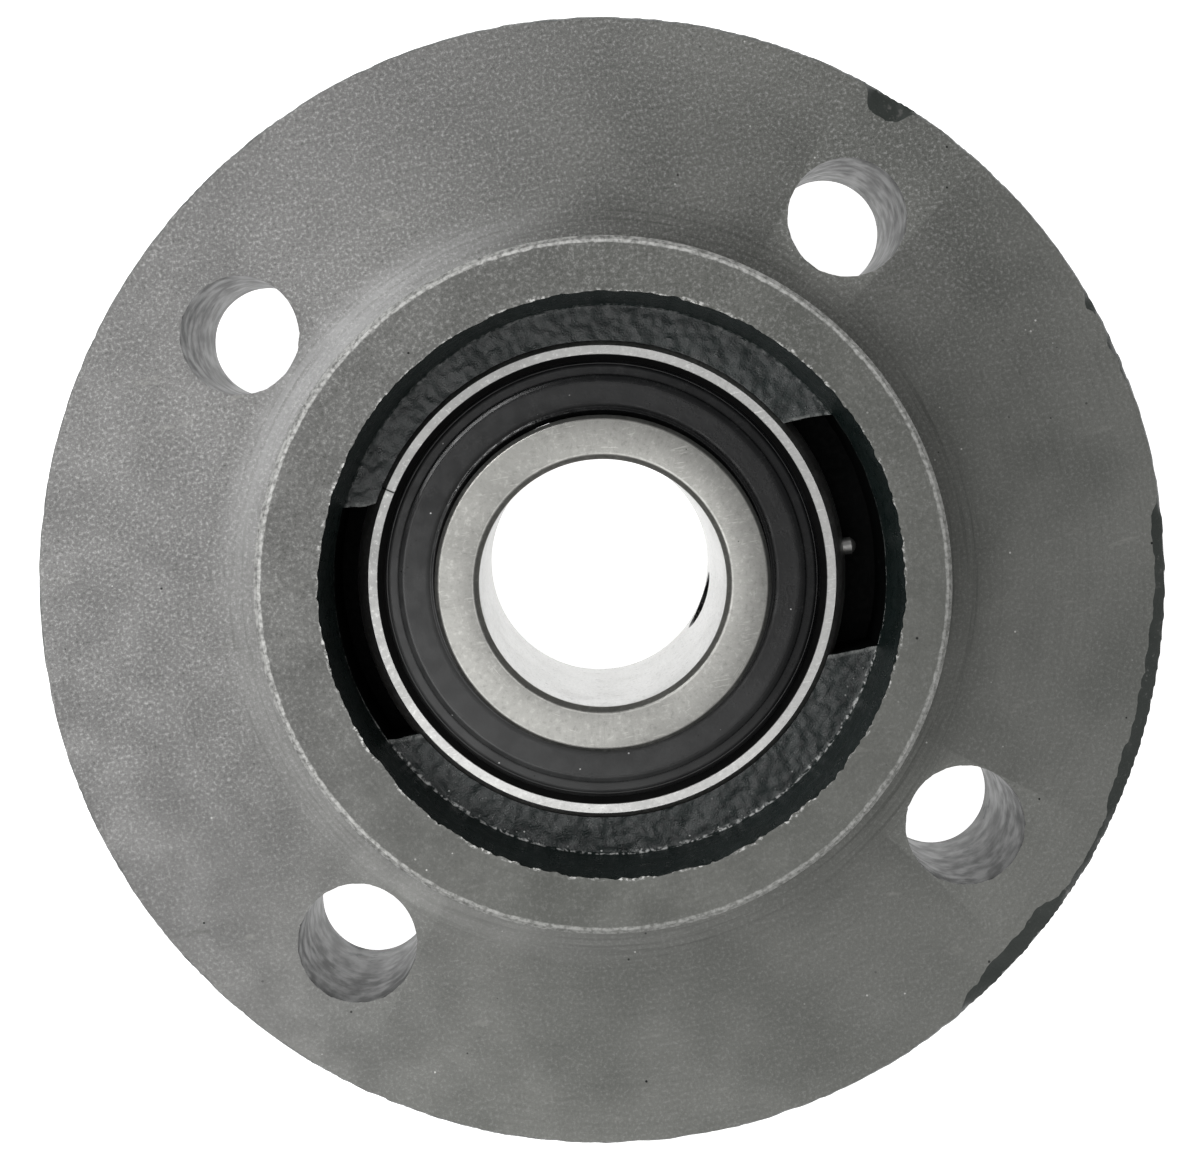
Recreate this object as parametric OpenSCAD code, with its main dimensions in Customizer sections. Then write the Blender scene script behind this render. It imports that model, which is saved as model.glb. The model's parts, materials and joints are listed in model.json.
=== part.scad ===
// Round flange mount bearing: a cast housing with a spigot, and a self-aligning ball bearing insert.
// +Z runs along the shaft towards the mounting side, and the mounting face is at z = 0.

/* [Flange] */
// Outside diameter of the flange
flange_d = 116; // [114:1:120]
// Thickness of the flange at its rim
flange_t = 12; // [10:0.5:14]
// Diameter of the circle that the bolt holes lie on
bolt_circle_d = 90; // [88:1:92]
// Diameter of each bolt hole
bolt_hole_d = 12.2; // [10:0.1:13]
// Number of bolt holes
bolt_count = 4; // [4]
// Depth of the bolt bosses in front of the mounting face
boss_depth = 22; // [20:0.5:24]
// Diameter of each bolt boss at its front end
boss_d = 23.6; // [22:0.2:25]

/* [Hub and spigot] */
// Diameter of the spigot that centres the unit
spigot_d = 70; // [69:0.5:72]
// Height of the spigot above the mounting face
spigot_h = 6; // [5:0.5:7]
// Diameter of the hub at its front end
hub_d = 66; // [64:1:70]
// Diameter of the hub where it meets the flange
hub_foot_d = 74; // [72:1:78]
// Depth of the hub in front of the mounting face
hub_depth = 21.5; // [21:0.5:23]
// Diameter of the cast cavity at its mouth
cavity_mouth_d = 58.8; // [58:0.2:60]
// Diameter of the cast cavity at its floor
cavity_floor_d = 57; // [56.8:0.1:57.4]
// Depth of the cavity floor below the mounting face
cavity_floor_depth = 1.8; // [1.6:0.1:2.2]
// Width of the two loading slots
slot_w = 24.5; // [22:0.5:26]
// Distance between the outer walls of the two loading slots
slot_span = 56.6; // [56:0.1:56.7]

/* [Insert] */
// Diameter of the bore for the shaft
bore_d = 25; // [24:0.5:25.4]
// Outside diameter of the inner ring
inner_ring_d = 34; // [33.8:0.1:34.2]
// Length of the inner ring on the mounting side, from the ball centres
inner_short = 14.3; // [13:0.1:15]
// Length of the inner ring on the front side, from the ball centres
inner_long = 19.8; // [19:0.1:21]
// Diameter of the outer ring's spherical outside
outer_ring_d = 52; // [52]
// Width of the outer ring
outer_ring_w = 17; // [16.8:0.1:17.2]
// Distance from the mounting face to the ball centres
insert_depth = 10; // [9.9:0.1:10.2]

/* [Balls and cage] */
// Diameter of each ball
ball_d = 7.938; // [7.9:0.01:7.96]
// Number of balls
ball_count = 9; // [9]
// Diameter of the circle that the ball centres lie on
pitch_d = 39.04; // [39:0.01:39.1]
// Thickness of the pressed cage
cage_t = 0.75; // [0.6:0.05:0.8]

/* [Set screws] */
// Thread diameter of the set screws
screw_d = 6; // [5:0.5:6]
// Length of a set screw
screw_len = 6; // [5.5:0.5:7]
// Distance from a set screw's centre to the end of the inner ring
screw_end_gap = 5; // [4.5:0.1:5.5]
// Angle of the first set screw about the shaft
screw_1_angle = -31; // [-180:1:180]
// Angle between the two set screws
screw_spread = 120; // [90:5:120]

/* [Grease nipple] */
// Thread diameter of the grease nipple
nipple_thread_d = 6; // [5.5:0.5:6.5]
// Width across the flats of the nipple's hexagon
nipple_hex_w = 7; // [7:0.5:8]
// Tilt of the nipple away from the flange
nipple_tilt = 25; // [20:1:30]

/* [Hidden] */
$fn = 96;

// Clearances between pieces that move on each other
seat_gap = 0.05;
groove_gap = 0.03;
lip_gap = 0.05;
thread_gap = 0.04;
pocket_gap = 0.13;

// Housing
rim_edge_r = 2.5;
rim_back_chamfer = 0.5;
spigot_chamfer = 0.6;
hub_fillet_r = 3;
hub_edge_r = 1.5;
boss_foot_d = boss_d + 1.6;
boss_angle = 45;
spot_face_d = 20.6;
spot_face_depth = 0.4;
seat_r = outer_ring_d / 2 + seat_gap;
front_opening_r = 24.7;
slot_depth = insert_depth + 0.5;
through = 80;

// Outer ring
outer_face_r = 24.2;
outer_shoulder_r = 22;
seal_mouth_r = 23.3;
seal_seat_r = 22.7;
seal_mouth_depth = 0.8;
snap_groove_r = 23.2;
snap_groove_top = 1.2;
snap_groove_bottom = 2.5;
seal_seat_depth = 3.1;
groove_tube_r = 0.516 * ball_d;
grease_groove_z = -3.5;
grease_groove_w = 1.6;
grease_groove_depth = 0.6;
grease_hole_d = 1.6;

// Anti-rotation pin, in the +X slot
pin_d = 1.8;
pin_angle = -4;
pin_z = 4;
pin_root_r = 24.5;
pin_tip_r = 27;

// Inner ring
bore_chamfer = 0.9;
inner_chamfer = 0.7;

// Cage, a ribbon of two pressed halves
cage_in_r = 18.1;
cage_out_r = 20.9;
pocket_r = ball_d / 2 + pocket_gap;
rivet_r = 0.6;
rivet_head_r = 1.1;
rivet_head_h = 0.45;

// Seals, measured inwards from the face of the outer ring
core_in_r = 18.3;
core_out_r = 22.4;
core_top = 1.4;
core_t = 0.5;
seal_flat_top = 0.45;
seal_flat_out_r = 21.1;
seal_band_top = 1.05;
seal_band_in_r = 21.5;
seal_snap_r = 23.1;
lip_r = inner_ring_d / 2 + lip_gap;

// Set screws
screw_rest_tip_r = bore_d / 2 + 0.4;
screw_socket_w = 3;
screw_socket_depth = 2.6;
screw_z = -insert_depth - inner_long + screw_end_gap;

// Grease nipple, along its own axis from its seat on the boss
nipple_boss_d = 11;
nipple_run = 12;
nipple_thread_len = 6.5;
nipple_hex_h = 3;
nipple_neck_d = 4.6;
nipple_head_d = 6.5;
nipple_len = 9.6;
chamber_r = 1.3;
chamber_floor = 2;
chamber_top = 8.6;
nipple_mouth_r = 0.85;
passage_r = 1.25;
check_ball_r = 1.15;
check_ball_gap = 0.05;
spring_coil_r = 0.85;
spring_wire_r = 0.16;
spring_turns = 6;
spring_steps = 14;
spring_sides = 6;

ball_contact_drop = sqrt(pow(check_ball_r, 2) - pow(nipple_mouth_r, 2));
check_ball_t = chamber_top - ball_contact_drop - check_ball_gap;
spring_top = check_ball_t - ball_contact_drop - spring_wire_r - 0.1;
spring_bottom = chamber_floor + spring_wire_r + 0.02;
grease_point_r = sqrt(pow(outer_ring_d / 2, 2) - pow(grease_groove_z, 2));

function arc(cx, cy, r, from, to, steps = 6) =
    [for (i = [0:steps]) let (a = from + (to - from) * i / steps) [cx + r * cos(a), cy + r * sin(a)]];

// The pieces of the insert are drawn about the ball centres
module at_insert() {
    translate([0, 0, -insert_depth]) children();
}

// Local z runs outwards along the nipple, from its seat on the boss
module at_nipple() {
    translate([0, grease_point_r, grease_groove_z - insert_depth])
        rotate([-90 - nipple_tilt, 0, 0])
            translate([0, 0, nipple_run]) children();
}

// Local z runs outwards along a set screw, from the axis of the shaft
module at_screw(angle) {
    translate([0, 0, screw_z]) rotate([0, 90, angle]) children();
}

module at_bolts() {
    for (i = [0:bolt_count - 1])
        rotate([0, 0, boss_angle + i * 360 / bolt_count])
            translate([bolt_circle_d / 2, 0, 0]) children();
}

// The casting before its hollows are cut, as a turned outline
module housing_outline() {
    rim_r = flange_d / 2;
    spigot_r = spigot_d / 2;
    foot_r = hub_foot_d / 2;
    top_r = hub_d / 2;
    polygon(concat(
        [[0, spigot_h]],
        [[spigot_r - spigot_chamfer, spigot_h], [spigot_r, spigot_h - spigot_chamfer]],
        [[spigot_r, 0], [rim_r - rim_back_chamfer, 0], [rim_r, -rim_back_chamfer]],
        arc(rim_r - rim_edge_r, rim_edge_r - flange_t, rim_edge_r, 0, -90),
        arc(foot_r + hub_fillet_r, -flange_t - hub_fillet_r, hub_fillet_r, 90, 165),
        arc(top_r - hub_edge_r, hub_edge_r - hub_depth, hub_edge_r, -20, -90),
        [[0, -hub_depth]]
    ));
}

module bolt_boss() {
    translate([0, 0, -boss_depth - spot_face_depth])
        cylinder(d1 = boss_d, d2 = boss_foot_d, h = boss_depth + spot_face_depth - flange_t / 2);
}

module loading_slots() {
    intersection() {
        translate([0, 0, -slot_depth])
            cylinder(d = slot_span, h = slot_depth - cavity_floor_depth / 2);
        difference() {
            cube([flange_d, slot_w, 4 * slot_depth], center = true);
            cylinder(d = inner_ring_d, h = 6 * slot_depth, center = true);
        }
    }
}

module cavity() {
    depth = cavity_floor_depth + spigot_h;
    over = 1;
    grow = (cavity_mouth_d - cavity_floor_d) * over / depth;
    translate([0, 0, -cavity_floor_depth])
        cylinder(d1 = cavity_floor_d, d2 = cavity_mouth_d + grow, h = depth + over);
}

module housing() {
    color("dimgray") difference() {
        union() {
            rotate_extrude() housing_outline();
            at_bolts() bolt_boss();
            at_nipple() translate([0, 0, -nipple_run + 3])
                cylinder(d = nipple_boss_d, h = nipple_run - 3);
        }
        cavity();
        loading_slots();
        at_insert() sphere(seat_r);
        translate([0, 0, -through]) cylinder(r = front_opening_r, h = through - insert_depth - 2);
        at_bolts() translate([0, 0, -through / 2]) cylinder(d = bolt_hole_d, h = through);
        at_bolts() translate([0, 0, -through - boss_depth]) cylinder(d = spot_face_d, h = through);
        at_nipple() translate([0, 0, -nipple_run - 1]) cylinder(r = passage_r, h = through);
        at_nipple() translate([0, 0, -nipple_thread_len]) cylinder(d = nipple_thread_d, h = through);
    }
}

module nipple_outline() {
    neck_r = nipple_neck_d / 2;
    head_r = nipple_head_d / 2;
    tip_r = 1.7;
    polygon([
        [0, -nipple_thread_len + 0.1], [nipple_thread_d / 2 - 0.3, -nipple_thread_len + 0.1],
        [nipple_thread_d / 2, -nipple_thread_len + 0.5], [nipple_thread_d / 2, nipple_hex_h / 2],
        [neck_r + 0.7, nipple_hex_h / 2], [neck_r + 0.7, nipple_hex_h + 0.6],
        [neck_r, nipple_hex_h + 1.4], [neck_r, nipple_hex_h + 2.4],
        [head_r, nipple_hex_h + 3.3], [head_r, nipple_hex_h + 4],
        [tip_r, nipple_len], [0, nipple_len]
    ]);
}

module grease_nipple() {
    color("goldenrod") at_nipple() difference() {
        union() {
            rotate_extrude() nipple_outline();
            cylinder(d = nipple_hex_w / cos(30), h = nipple_hex_h, $fn = 6);
        }
        translate([0, 0, -through / 2]) cylinder(r = nipple_mouth_r, h = through);
        translate([0, 0, chamber_floor]) cylinder(r = chamber_r, h = chamber_top - chamber_floor);
    }
}

module nipple_check_ball() {
    color("silver") at_nipple() translate([0, 0, check_ball_t]) sphere(check_ball_r);
}

// A coil spring swept along a helix, one ring of corners at a time
function spring_corner(i, k) =
    let (
        rings = spring_turns * spring_steps,
        a = 360 * i / spring_steps,
        b = 360 * k / spring_sides,
        r = spring_coil_r + spring_wire_r * cos(b),
        z = spring_bottom + (spring_top - spring_bottom) * i / rings
    )
    [r * cos(a), r * sin(a), z + spring_wire_r * sin(b)];

module nipple_spring() {
    rings = spring_turns * spring_steps;
    s = spring_sides;
    points = [for (i = [0:rings], k = [0:s - 1]) spring_corner(i, k)];
    sides = [for (i = [0:rings - 1], k = [0:s - 1])
        [i * s + k, i * s + (k + 1) % s, (i + 1) * s + (k + 1) % s, (i + 1) * s + k]];
    ends = [[for (k = [s - 1:-1:0]) k], [for (k = [0:s - 1]) rings * s + k]];
    color("gray") at_nipple() polyhedron(points, concat(sides, ends), convexity = 10);
}

module outer_ring_outline() {
    half = outer_ring_w / 2;
    chamfer = 0.7;
    polygon([
        [outer_shoulder_r, -half], [outer_face_r, -half], [outer_face_r + chamfer, -half + chamfer],
        [outer_ring_d / 2 + 1, -half + chamfer + 1], [outer_ring_d / 2 + 1, half - chamfer - 1],
        [outer_face_r + chamfer, half - chamfer], [outer_face_r, half], [outer_shoulder_r, half]
    ]);
}

// The stepped seat that a seal snaps into, for the face at +z
module seal_seat() {
    face = outer_ring_w / 2;
    rotate_extrude() polygon([
        [0, face - seal_seat_depth], [seal_seat_r, face - seal_seat_depth],
        [seal_seat_r, face - snap_groove_bottom], [snap_groove_r, face - snap_groove_bottom],
        [snap_groove_r, face - snap_groove_top], [seal_seat_r, face - snap_groove_top],
        [seal_seat_r, face - seal_mouth_depth], [seal_mouth_r, face], [seal_mouth_r, face + 1],
        [0, face + 1]
    ]);
}

module outer_ring() {
    race_r = pitch_d / 2 + ball_d / 2 + groove_gap;
    color("silver") at_insert() difference() {
        intersection() {
            sphere(outer_ring_d / 2);
            rotate_extrude() outer_ring_outline();
        }
        rotate_extrude() translate([race_r - groove_tube_r, 0]) circle(groove_tube_r);
        seal_seat();
        mirror([0, 0, 1]) seal_seat();
        rotate_extrude() translate([outer_ring_d / 2 - grease_groove_depth, grease_groove_z])
            translate([-0.3, -grease_groove_w / 2]) square([2, grease_groove_w]);
        for (a = [90, 270]) rotate([0, 0, a]) translate([outer_shoulder_r - 2, 0, grease_groove_z])
            rotate([0, 90, 0]) cylinder(d = grease_hole_d, h = 6);
        rotate([0, 0, pin_angle]) translate([pin_root_r, 0, pin_z])
            rotate([0, 90, 0]) cylinder(d = pin_d, h = 4);
    }
}

module anti_rotation_pin() {
    dome = 0.5;
    color("silver") at_insert() rotate([0, 0, pin_angle]) translate([pin_root_r, 0, pin_z])
        rotate([0, 90, 0]) rotate_extrude() polygon(concat(
            [[0, 0], [pin_d / 2, 0]],
            [[pin_d / 2, pin_tip_r - pin_root_r - dome]],
            [[pin_d / 4, pin_tip_r - pin_root_r - 0.1], [0, pin_tip_r - pin_root_r]]
        ));
}

// Steel core of a seal, for the face at +z
module seal_core() {
    face = outer_ring_w / 2;
    rotate_extrude() translate([core_in_r, face - core_top - core_t])
        square([core_out_r - core_in_r, core_t]);
}

// Rubber of a seal, for the face at +z
module seal_rubber() {
    face = outer_ring_w / 2;
    snap_top = snap_groove_top + 0.1;
    snap_bottom = snap_groove_bottom - 0.1;
    rotate_extrude() polygon([
        [lip_r, face - 1.5], [lip_r, face - 1.1], [lip_r + 0.35, face - seal_flat_top - 0.15],
        [lip_r + 0.6, face - seal_flat_top], [seal_flat_out_r, face - seal_flat_top],
        [seal_flat_out_r + 0.3, face - seal_flat_top - 0.2], [seal_band_in_r, face - seal_band_top],
        [seal_seat_r - 0.1, face - seal_band_top], [seal_seat_r - 0.1, face - snap_top],
        [seal_snap_r, face - snap_top - 0.2], [seal_snap_r, face - snap_bottom + 0.2],
        [seal_seat_r - 0.1, face - snap_bottom], [core_out_r, face - snap_bottom],
        [core_out_r, face - core_top], [core_in_r, face - core_top],
        [core_in_r, face - core_top - core_t], [core_in_r - 0.5, face - core_top - core_t]
    ]);
}

module seal_core_back() {
    color("slategray") at_insert() seal_core();
}

module seal_rubber_back() {
    color("#222222") at_insert() seal_rubber();
}

module seal_core_front() {
    color("slategray") at_insert() mirror([0, 0, 1]) seal_core();
}

module seal_rubber_front() {
    color("#222222") at_insert() mirror([0, 0, 1]) seal_rubber();
}

module at_pockets(half_step = 0) {
    for (i = [0:ball_count - 1])
        rotate([0, 0, (i + half_step) * 360 / ball_count]) translate([pitch_d / 2, 0, 0]) children();
}

// One pressed half of the cage, for the side at +z
module cage_half() {
    height = pocket_r + 2 * cage_t;
    difference() {
        intersection() {
            cylinder(r = cage_out_r, h = height);
            union() {
                cylinder(r = cage_out_r + 1, h = cage_t);
                at_pockets() sphere(pocket_r + cage_t);
            }
        }
        translate([0, 0, -1]) cylinder(r = cage_in_r, h = height + 2);
        at_pockets() sphere(pocket_r);
        at_pockets(0.5) translate([0, 0, -1]) cylinder(r = rivet_r, h = cage_t + 2);
    }
}

module cage_back() {
    color("lightsteelblue") at_insert() cage_half();
}

module cage_front() {
    color("lightsteelblue") at_insert() mirror([0, 0, 1]) cage_half();
}

module rivet() {
    translate([0, 0, -cage_t - rivet_head_h]) cylinder(r = rivet_head_r, h = rivet_head_h);
    translate([0, 0, -cage_t]) cylinder(r = rivet_r, h = 2 * cage_t);
    translate([0, 0, cage_t]) cylinder(r = rivet_head_r, h = rivet_head_h);
}

module cage_rivets() {
    color("gray") at_insert() at_pockets(0.5) rivet();
}

module ball(number) {
    color("whitesmoke") at_insert() rotate([0, 0, (number - 1) * 360 / ball_count])
        translate([pitch_d / 2, 0, 0]) sphere(ball_d / 2);
}

module inner_ring_outline() {
    r = inner_ring_d / 2;
    b = bore_d / 2;
    polygon([
        [b + bore_chamfer, inner_short], [r - inner_chamfer, inner_short],
        [r, inner_short - inner_chamfer], [r, inner_chamfer - inner_long],
        [r - inner_chamfer, -inner_long], [b + bore_chamfer, -inner_long],
        [b, bore_chamfer - inner_long], [b, inner_short - bore_chamfer]
    ]);
}

module inner_ring() {
    race_r = pitch_d / 2 - ball_d / 2 - groove_gap;
    color("silver") difference() {
        at_insert() difference() {
            rotate_extrude() inner_ring_outline();
            rotate_extrude() translate([race_r + groove_tube_r, 0]) circle(groove_tube_r);
        }
        for (a = [0, screw_spread]) at_screw(screw_1_angle + a)
            cylinder(d = screw_d + 2 * thread_gap, h = inner_ring_d);
    }
}

module set_screw(angle) {
    tip_chamfer = 0.8;
    r = screw_d / 2;
    color("#333333") at_screw(angle) translate([0, 0, screw_rest_tip_r]) difference() {
        rotate_extrude() polygon([
            [0, 0], [r - tip_chamfer, 0], [r, tip_chamfer], [r, screw_len - 0.4],
            [r - 0.4, screw_len], [0, screw_len]
        ]);
        translate([0, 0, screw_len - screw_socket_depth])
            cylinder(d = screw_socket_w / cos(30), h = screw_socket_depth + 1, $fn = 6);
    }
}

module set_screw_1() {
    set_screw(screw_1_angle);
}

module set_screw_2() {
    set_screw(screw_1_angle + screw_spread);
}

housing();
grease_nipple();
nipple_spring();
nipple_check_ball();
outer_ring();
anti_rotation_pin();
seal_core_back();
seal_rubber_back();
seal_core_front();
seal_rubber_front();
cage_back();
cage_front();
cage_rivets();
ball(1);  // ball_1
ball(2);  // ball_2
ball(3);  // ball_3
ball(4);  // ball_4
ball(5);  // ball_5
ball(6);  // ball_6
ball(7);  // ball_7
ball(8);  // ball_8
ball(9);  // ball_9
inner_ring();
set_screw_1();
set_screw_2();
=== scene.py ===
"""Looks of the round flange mount bearing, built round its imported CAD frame.

Sizes are in millimetres until a mesh is made. The housing is made as the real one is: a rough casting, then machined.
"""

import json
import math

import bmesh
import bpy
import numpy as np
from mathutils import Matrix, Vector, noise


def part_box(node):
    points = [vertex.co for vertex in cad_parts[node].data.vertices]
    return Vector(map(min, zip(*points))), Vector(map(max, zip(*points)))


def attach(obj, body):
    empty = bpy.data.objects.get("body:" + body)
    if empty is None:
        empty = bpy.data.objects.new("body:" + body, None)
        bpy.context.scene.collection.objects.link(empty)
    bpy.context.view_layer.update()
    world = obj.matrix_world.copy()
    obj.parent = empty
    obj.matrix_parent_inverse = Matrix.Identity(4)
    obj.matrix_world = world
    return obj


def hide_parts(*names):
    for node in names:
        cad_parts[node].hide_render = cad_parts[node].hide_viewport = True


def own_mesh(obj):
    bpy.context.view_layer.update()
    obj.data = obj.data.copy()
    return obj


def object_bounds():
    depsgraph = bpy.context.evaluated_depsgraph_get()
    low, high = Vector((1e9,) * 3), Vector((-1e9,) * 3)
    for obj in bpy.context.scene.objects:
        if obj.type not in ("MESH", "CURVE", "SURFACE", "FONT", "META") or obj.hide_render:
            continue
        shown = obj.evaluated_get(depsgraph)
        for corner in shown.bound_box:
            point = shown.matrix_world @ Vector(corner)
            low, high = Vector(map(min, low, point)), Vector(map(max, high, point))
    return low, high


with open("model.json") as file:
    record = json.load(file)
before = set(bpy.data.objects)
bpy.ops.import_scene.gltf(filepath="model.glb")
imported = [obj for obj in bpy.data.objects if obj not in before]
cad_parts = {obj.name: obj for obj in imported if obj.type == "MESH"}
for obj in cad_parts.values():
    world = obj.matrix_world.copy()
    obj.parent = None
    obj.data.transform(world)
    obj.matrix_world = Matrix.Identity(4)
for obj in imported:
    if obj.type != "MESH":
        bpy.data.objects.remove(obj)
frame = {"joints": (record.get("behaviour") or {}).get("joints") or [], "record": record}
cad_low, cad_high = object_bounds()

MM = 0.001
JOINTS = {joint["name"]: joint for joint in frame["joints"]}
MOUNTS = {mount["name"]: mount for mount in frame["record"]["mounts"]}


# ---------------------------------------------------------------- sizes read from the frame

def box_mm(node):
    low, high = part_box(node)
    return low / MM, high / MM


HOUSING_LOW, HOUSING_HIGH = box_mm("housing")
RIM_R = min(HOUSING_HIGH.x, HOUSING_HIGH.y)
SPIGOT_TOP = HOUSING_HIGH.z
SPIGOT_R = MOUNTS["spigot"]["dims"]["r_mm"]
BOLT_CIRCLE_R = MOUNTS["flange_bolts"]["dims"]["pcd_mm"] / 2
BOLT_HOLE_R = MOUNTS["flange_bolts"]["dims"]["hole_r_mm"]
BOLT_ANGLES = [math.radians(45 + 90 * i) for i in range(4)]
BORE_R = MOUNTS["shaft_bore"]["dims"]["r_mm"]
BALL_Z = JOINTS["shaft_spin"]["pos_m"][2] / MM
OUTER_RING_R = 26.0
OUTER_FACE = box_mm("outer_ring")[1].z - BALL_Z
INNER_LOW, INNER_HIGH = box_mm("inner_ring")
INNER_R = INNER_HIGH.x
BALL_R = (box_mm("ball_1")[1].z - box_mm("ball_1")[0].z) / 2
PITCH_R = box_mm("ball_1")[1].x - BALL_R
BALL_COUNT = 9

# The photographed unit is seen turned by this angle about its shaft
VIEW_ROLL = math.radians(11)


def seen_angle(degrees):
    """Angle in the model, in radians, of a direction given anticlockwise from the right of the view."""
    return math.radians(degrees) - VIEW_ROLL


# ---------------------------------------------------------------- mesh helpers

def link(name, mesh):
    obj = bpy.data.objects.new(name, mesh)
    bpy.context.scene.collection.objects.link(obj)
    return obj


def make(name, points, faces):
    """An object from points in mm and faces, with doubled points merged and faces turned outwards."""
    mesh = bpy.data.meshes.new(name)
    mesh.from_pydata((np.asarray(points, float) * MM).tolist(), [], faces)
    work = bmesh.new()
    work.from_mesh(mesh)
    bmesh.ops.remove_doubles(work, verts=work.verts, dist=1e-7)
    bmesh.ops.recalc_face_normals(work, faces=work.faces)
    work.to_mesh(mesh)
    work.free()
    return link(name, mesh)


def arc(centre_r, centre_z, radius, start, end, steps=8):
    """Points of an arc in an outline. Angles in degrees, from +r towards +z."""
    angles = np.radians(np.linspace(start, end, steps + 1))
    return [(centre_r + radius * math.cos(a), centre_z + radius * math.sin(a)) for a in angles]


def soften(outline, radius, steps=3, closed=True):
    """The outline with every corner rounded off, by at most a third of its shorter side."""
    out = []
    count = len(outline)
    for i, corner in enumerate(outline):
        if not closed and i in (0, count - 1):
            out.append(corner)
            continue
        corner = np.array(corner, float)
        before = np.array(outline[i - 1], float) - corner
        after = np.array(outline[(i + 1) % count], float) - corner
        reach = min(radius, np.linalg.norm(before) / 3, np.linalg.norm(after) / 3)
        a = corner + before / np.linalg.norm(before) * reach
        b = corner + after / np.linalg.norm(after) * reach
        for t in np.linspace(0, 1, steps + 1):
            out.append(tuple((1 - t) ** 2 * a + 2 * t * (1 - t) * corner + t * t * b))
    return out


def refine(outline, step, closed=True):
    """The outline with extra points, so that no side is longer than step."""
    out = []
    pairs = zip(outline, outline[1:] + outline[:1]) if closed else zip(outline, outline[1:])
    for a, b in pairs:
        pieces = max(1, math.ceil(math.dist(a, b) / step))
        out += [tuple(np.array(a) + (np.array(b) - np.array(a)) * i / pieces) for i in range(pieces)]
    return out if closed else out + [outline[-1]]


def tube_faces(turns, rows, closed=True):
    """Faces over rings of points, turns of them with rows points each."""
    return [
        (i * rows + j, (i + 1) % turns * rows + j, (i + 1) % turns * rows + (j + 1) % rows, i * rows + (j + 1) % rows)
        for i in range(turns if closed else turns - 1) for j in range(rows)]


def lathe(name, outline, segments=256, shape=None):
    """The outline, a closed loop of (radius, z), turned about Z. shape may move the points, given as an array."""
    profile = np.array(outline, float)
    turn = np.linspace(0, 2 * math.pi, segments, endpoint=False)
    points = np.stack([
        profile[:, 0][None, :] * np.cos(turn)[:, None],
        profile[:, 0][None, :] * np.sin(turn)[:, None],
        np.broadcast_to(profile[:, 1][None, :], (segments, len(profile))),
    ], axis=-1).reshape(-1, 3)
    if shape:
        points = shape(points)
    rows = len(profile)
    on_axis = [profile[j, 0] <= 1e-9 and profile[(j + 1) % rows, 0] <= 1e-9 for j in range(rows)]
    faces = [face for face in tube_faces(segments, rows) if not on_axis[face[0] % rows]]
    return make(name, points, faces)


def prism(name, corners, levels):
    """A closed wall over a loop of (x, y) corners, with a ring of points at each z in levels."""
    count = len(corners)
    points = [(x, y, z) for z in levels for x, y in corners]
    faces = [
        (j * count + i, j * count + (i + 1) % count, (j + 1) * count + (i + 1) % count, (j + 1) * count + i)
        for j in range(len(levels) - 1) for i in range(count)
    ]
    faces.append(tuple(range(count))[::-1])
    faces.append(tuple(range((len(levels) - 1) * count, len(levels) * count)))
    return make(name, points, faces)


def bake(obj):
    """Applies obj's modifiers."""
    graph = bpy.context.evaluated_depsgraph_get()
    mesh = bpy.data.meshes.new_from_object(obj.evaluated_get(graph))
    obj.modifiers.clear()
    obj.data = mesh
    return obj


def combine(obj, others, operation="DIFFERENCE"):
    """Adds the other solids to obj, or cuts them out of it, and removes them."""
    for other in others:
        step = obj.modifiers.new(operation, "BOOLEAN")
        step.operation, step.solver, step.object = operation, "MANIFOLD", other
    bake(obj)
    for other in others:
        bpy.data.objects.remove(other)
    return obj


def place(obj, matrix):
    """Moves obj's points by a matrix in mm."""
    moved = matrix.copy()
    moved.translation *= MM
    obj.data.transform(moved)
    return obj


def noise_at(points, wavelength, octaves=3, seed=0.0):
    """Smooth noise between about -1 and 1 at each point."""
    offset = Vector((seed * 17.3, seed * 9.1, seed * 5.7))
    return np.array([
        noise.fractal(Vector(p) / wavelength + offset, 0.8, 2.1, octaves, noise_basis="PERLIN_ORIGINAL")
        for p in points.tolist()
    ])


def smoothstep(low, high, value):
    t = np.clip((value - low) / (high - low), 0, 1)
    return t * t * (3 - 2 * t)


def roughen(obj, layers, where=None):
    """Moves obj's points along their normals by layers of (height, wavelength, octaves, seed), in mm."""
    mesh = obj.data
    count = len(mesh.vertices)
    points = np.empty(count * 3)
    normals = np.empty(count * 3)
    mesh.vertices.foreach_get("co", points)
    mesh.vertex_normals.foreach_get("vector", normals)
    points = points.reshape(-1, 3) / MM
    normals = normals.reshape(-1, 3)
    height = sum(size * noise_at(points, wavelength, octaves, seed) for size, wavelength, octaves, seed in layers)
    if where:
        height = height * where(points, normals)
    moved = (points + normals * height[:, None]) * MM
    mesh.vertices.foreach_set("co", moved.ravel())
    mesh.update()
    return obj


def finish_surface(obj, angle=28):
    """Shades obj smooth, with sharp edges where faces meet at more than angle or change material."""
    mesh = obj.data
    mesh.polygons.foreach_set("use_smooth", np.ones(len(mesh.polygons), bool))
    work = bmesh.new()
    work.from_mesh(mesh)
    limit = math.radians(angle)
    for edge in work.edges:
        faces = edge.link_faces
        edge.smooth = (
            len(faces) == 2
            and faces[0].material_index == faces[1].material_index
            and faces[0].normal.angle(faces[1].normal, 0) < limit
        )
    work.to_mesh(mesh)
    work.free()
    return obj


def give(obj, *materials):
    obj.data.materials.clear()
    for material in materials:
        obj.data.materials.append(material)


def polar(points):
    """Radius and angle of each point about the shaft."""
    return np.hypot(points[:, 0], points[:, 1]), np.arctan2(points[:, 1], points[:, 0])


def turned(angle, centre):
    """How far angle is from centre, in radians, between -pi and pi."""
    return (angle - centre + math.pi) % (2 * math.pi) - math.pi


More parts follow.
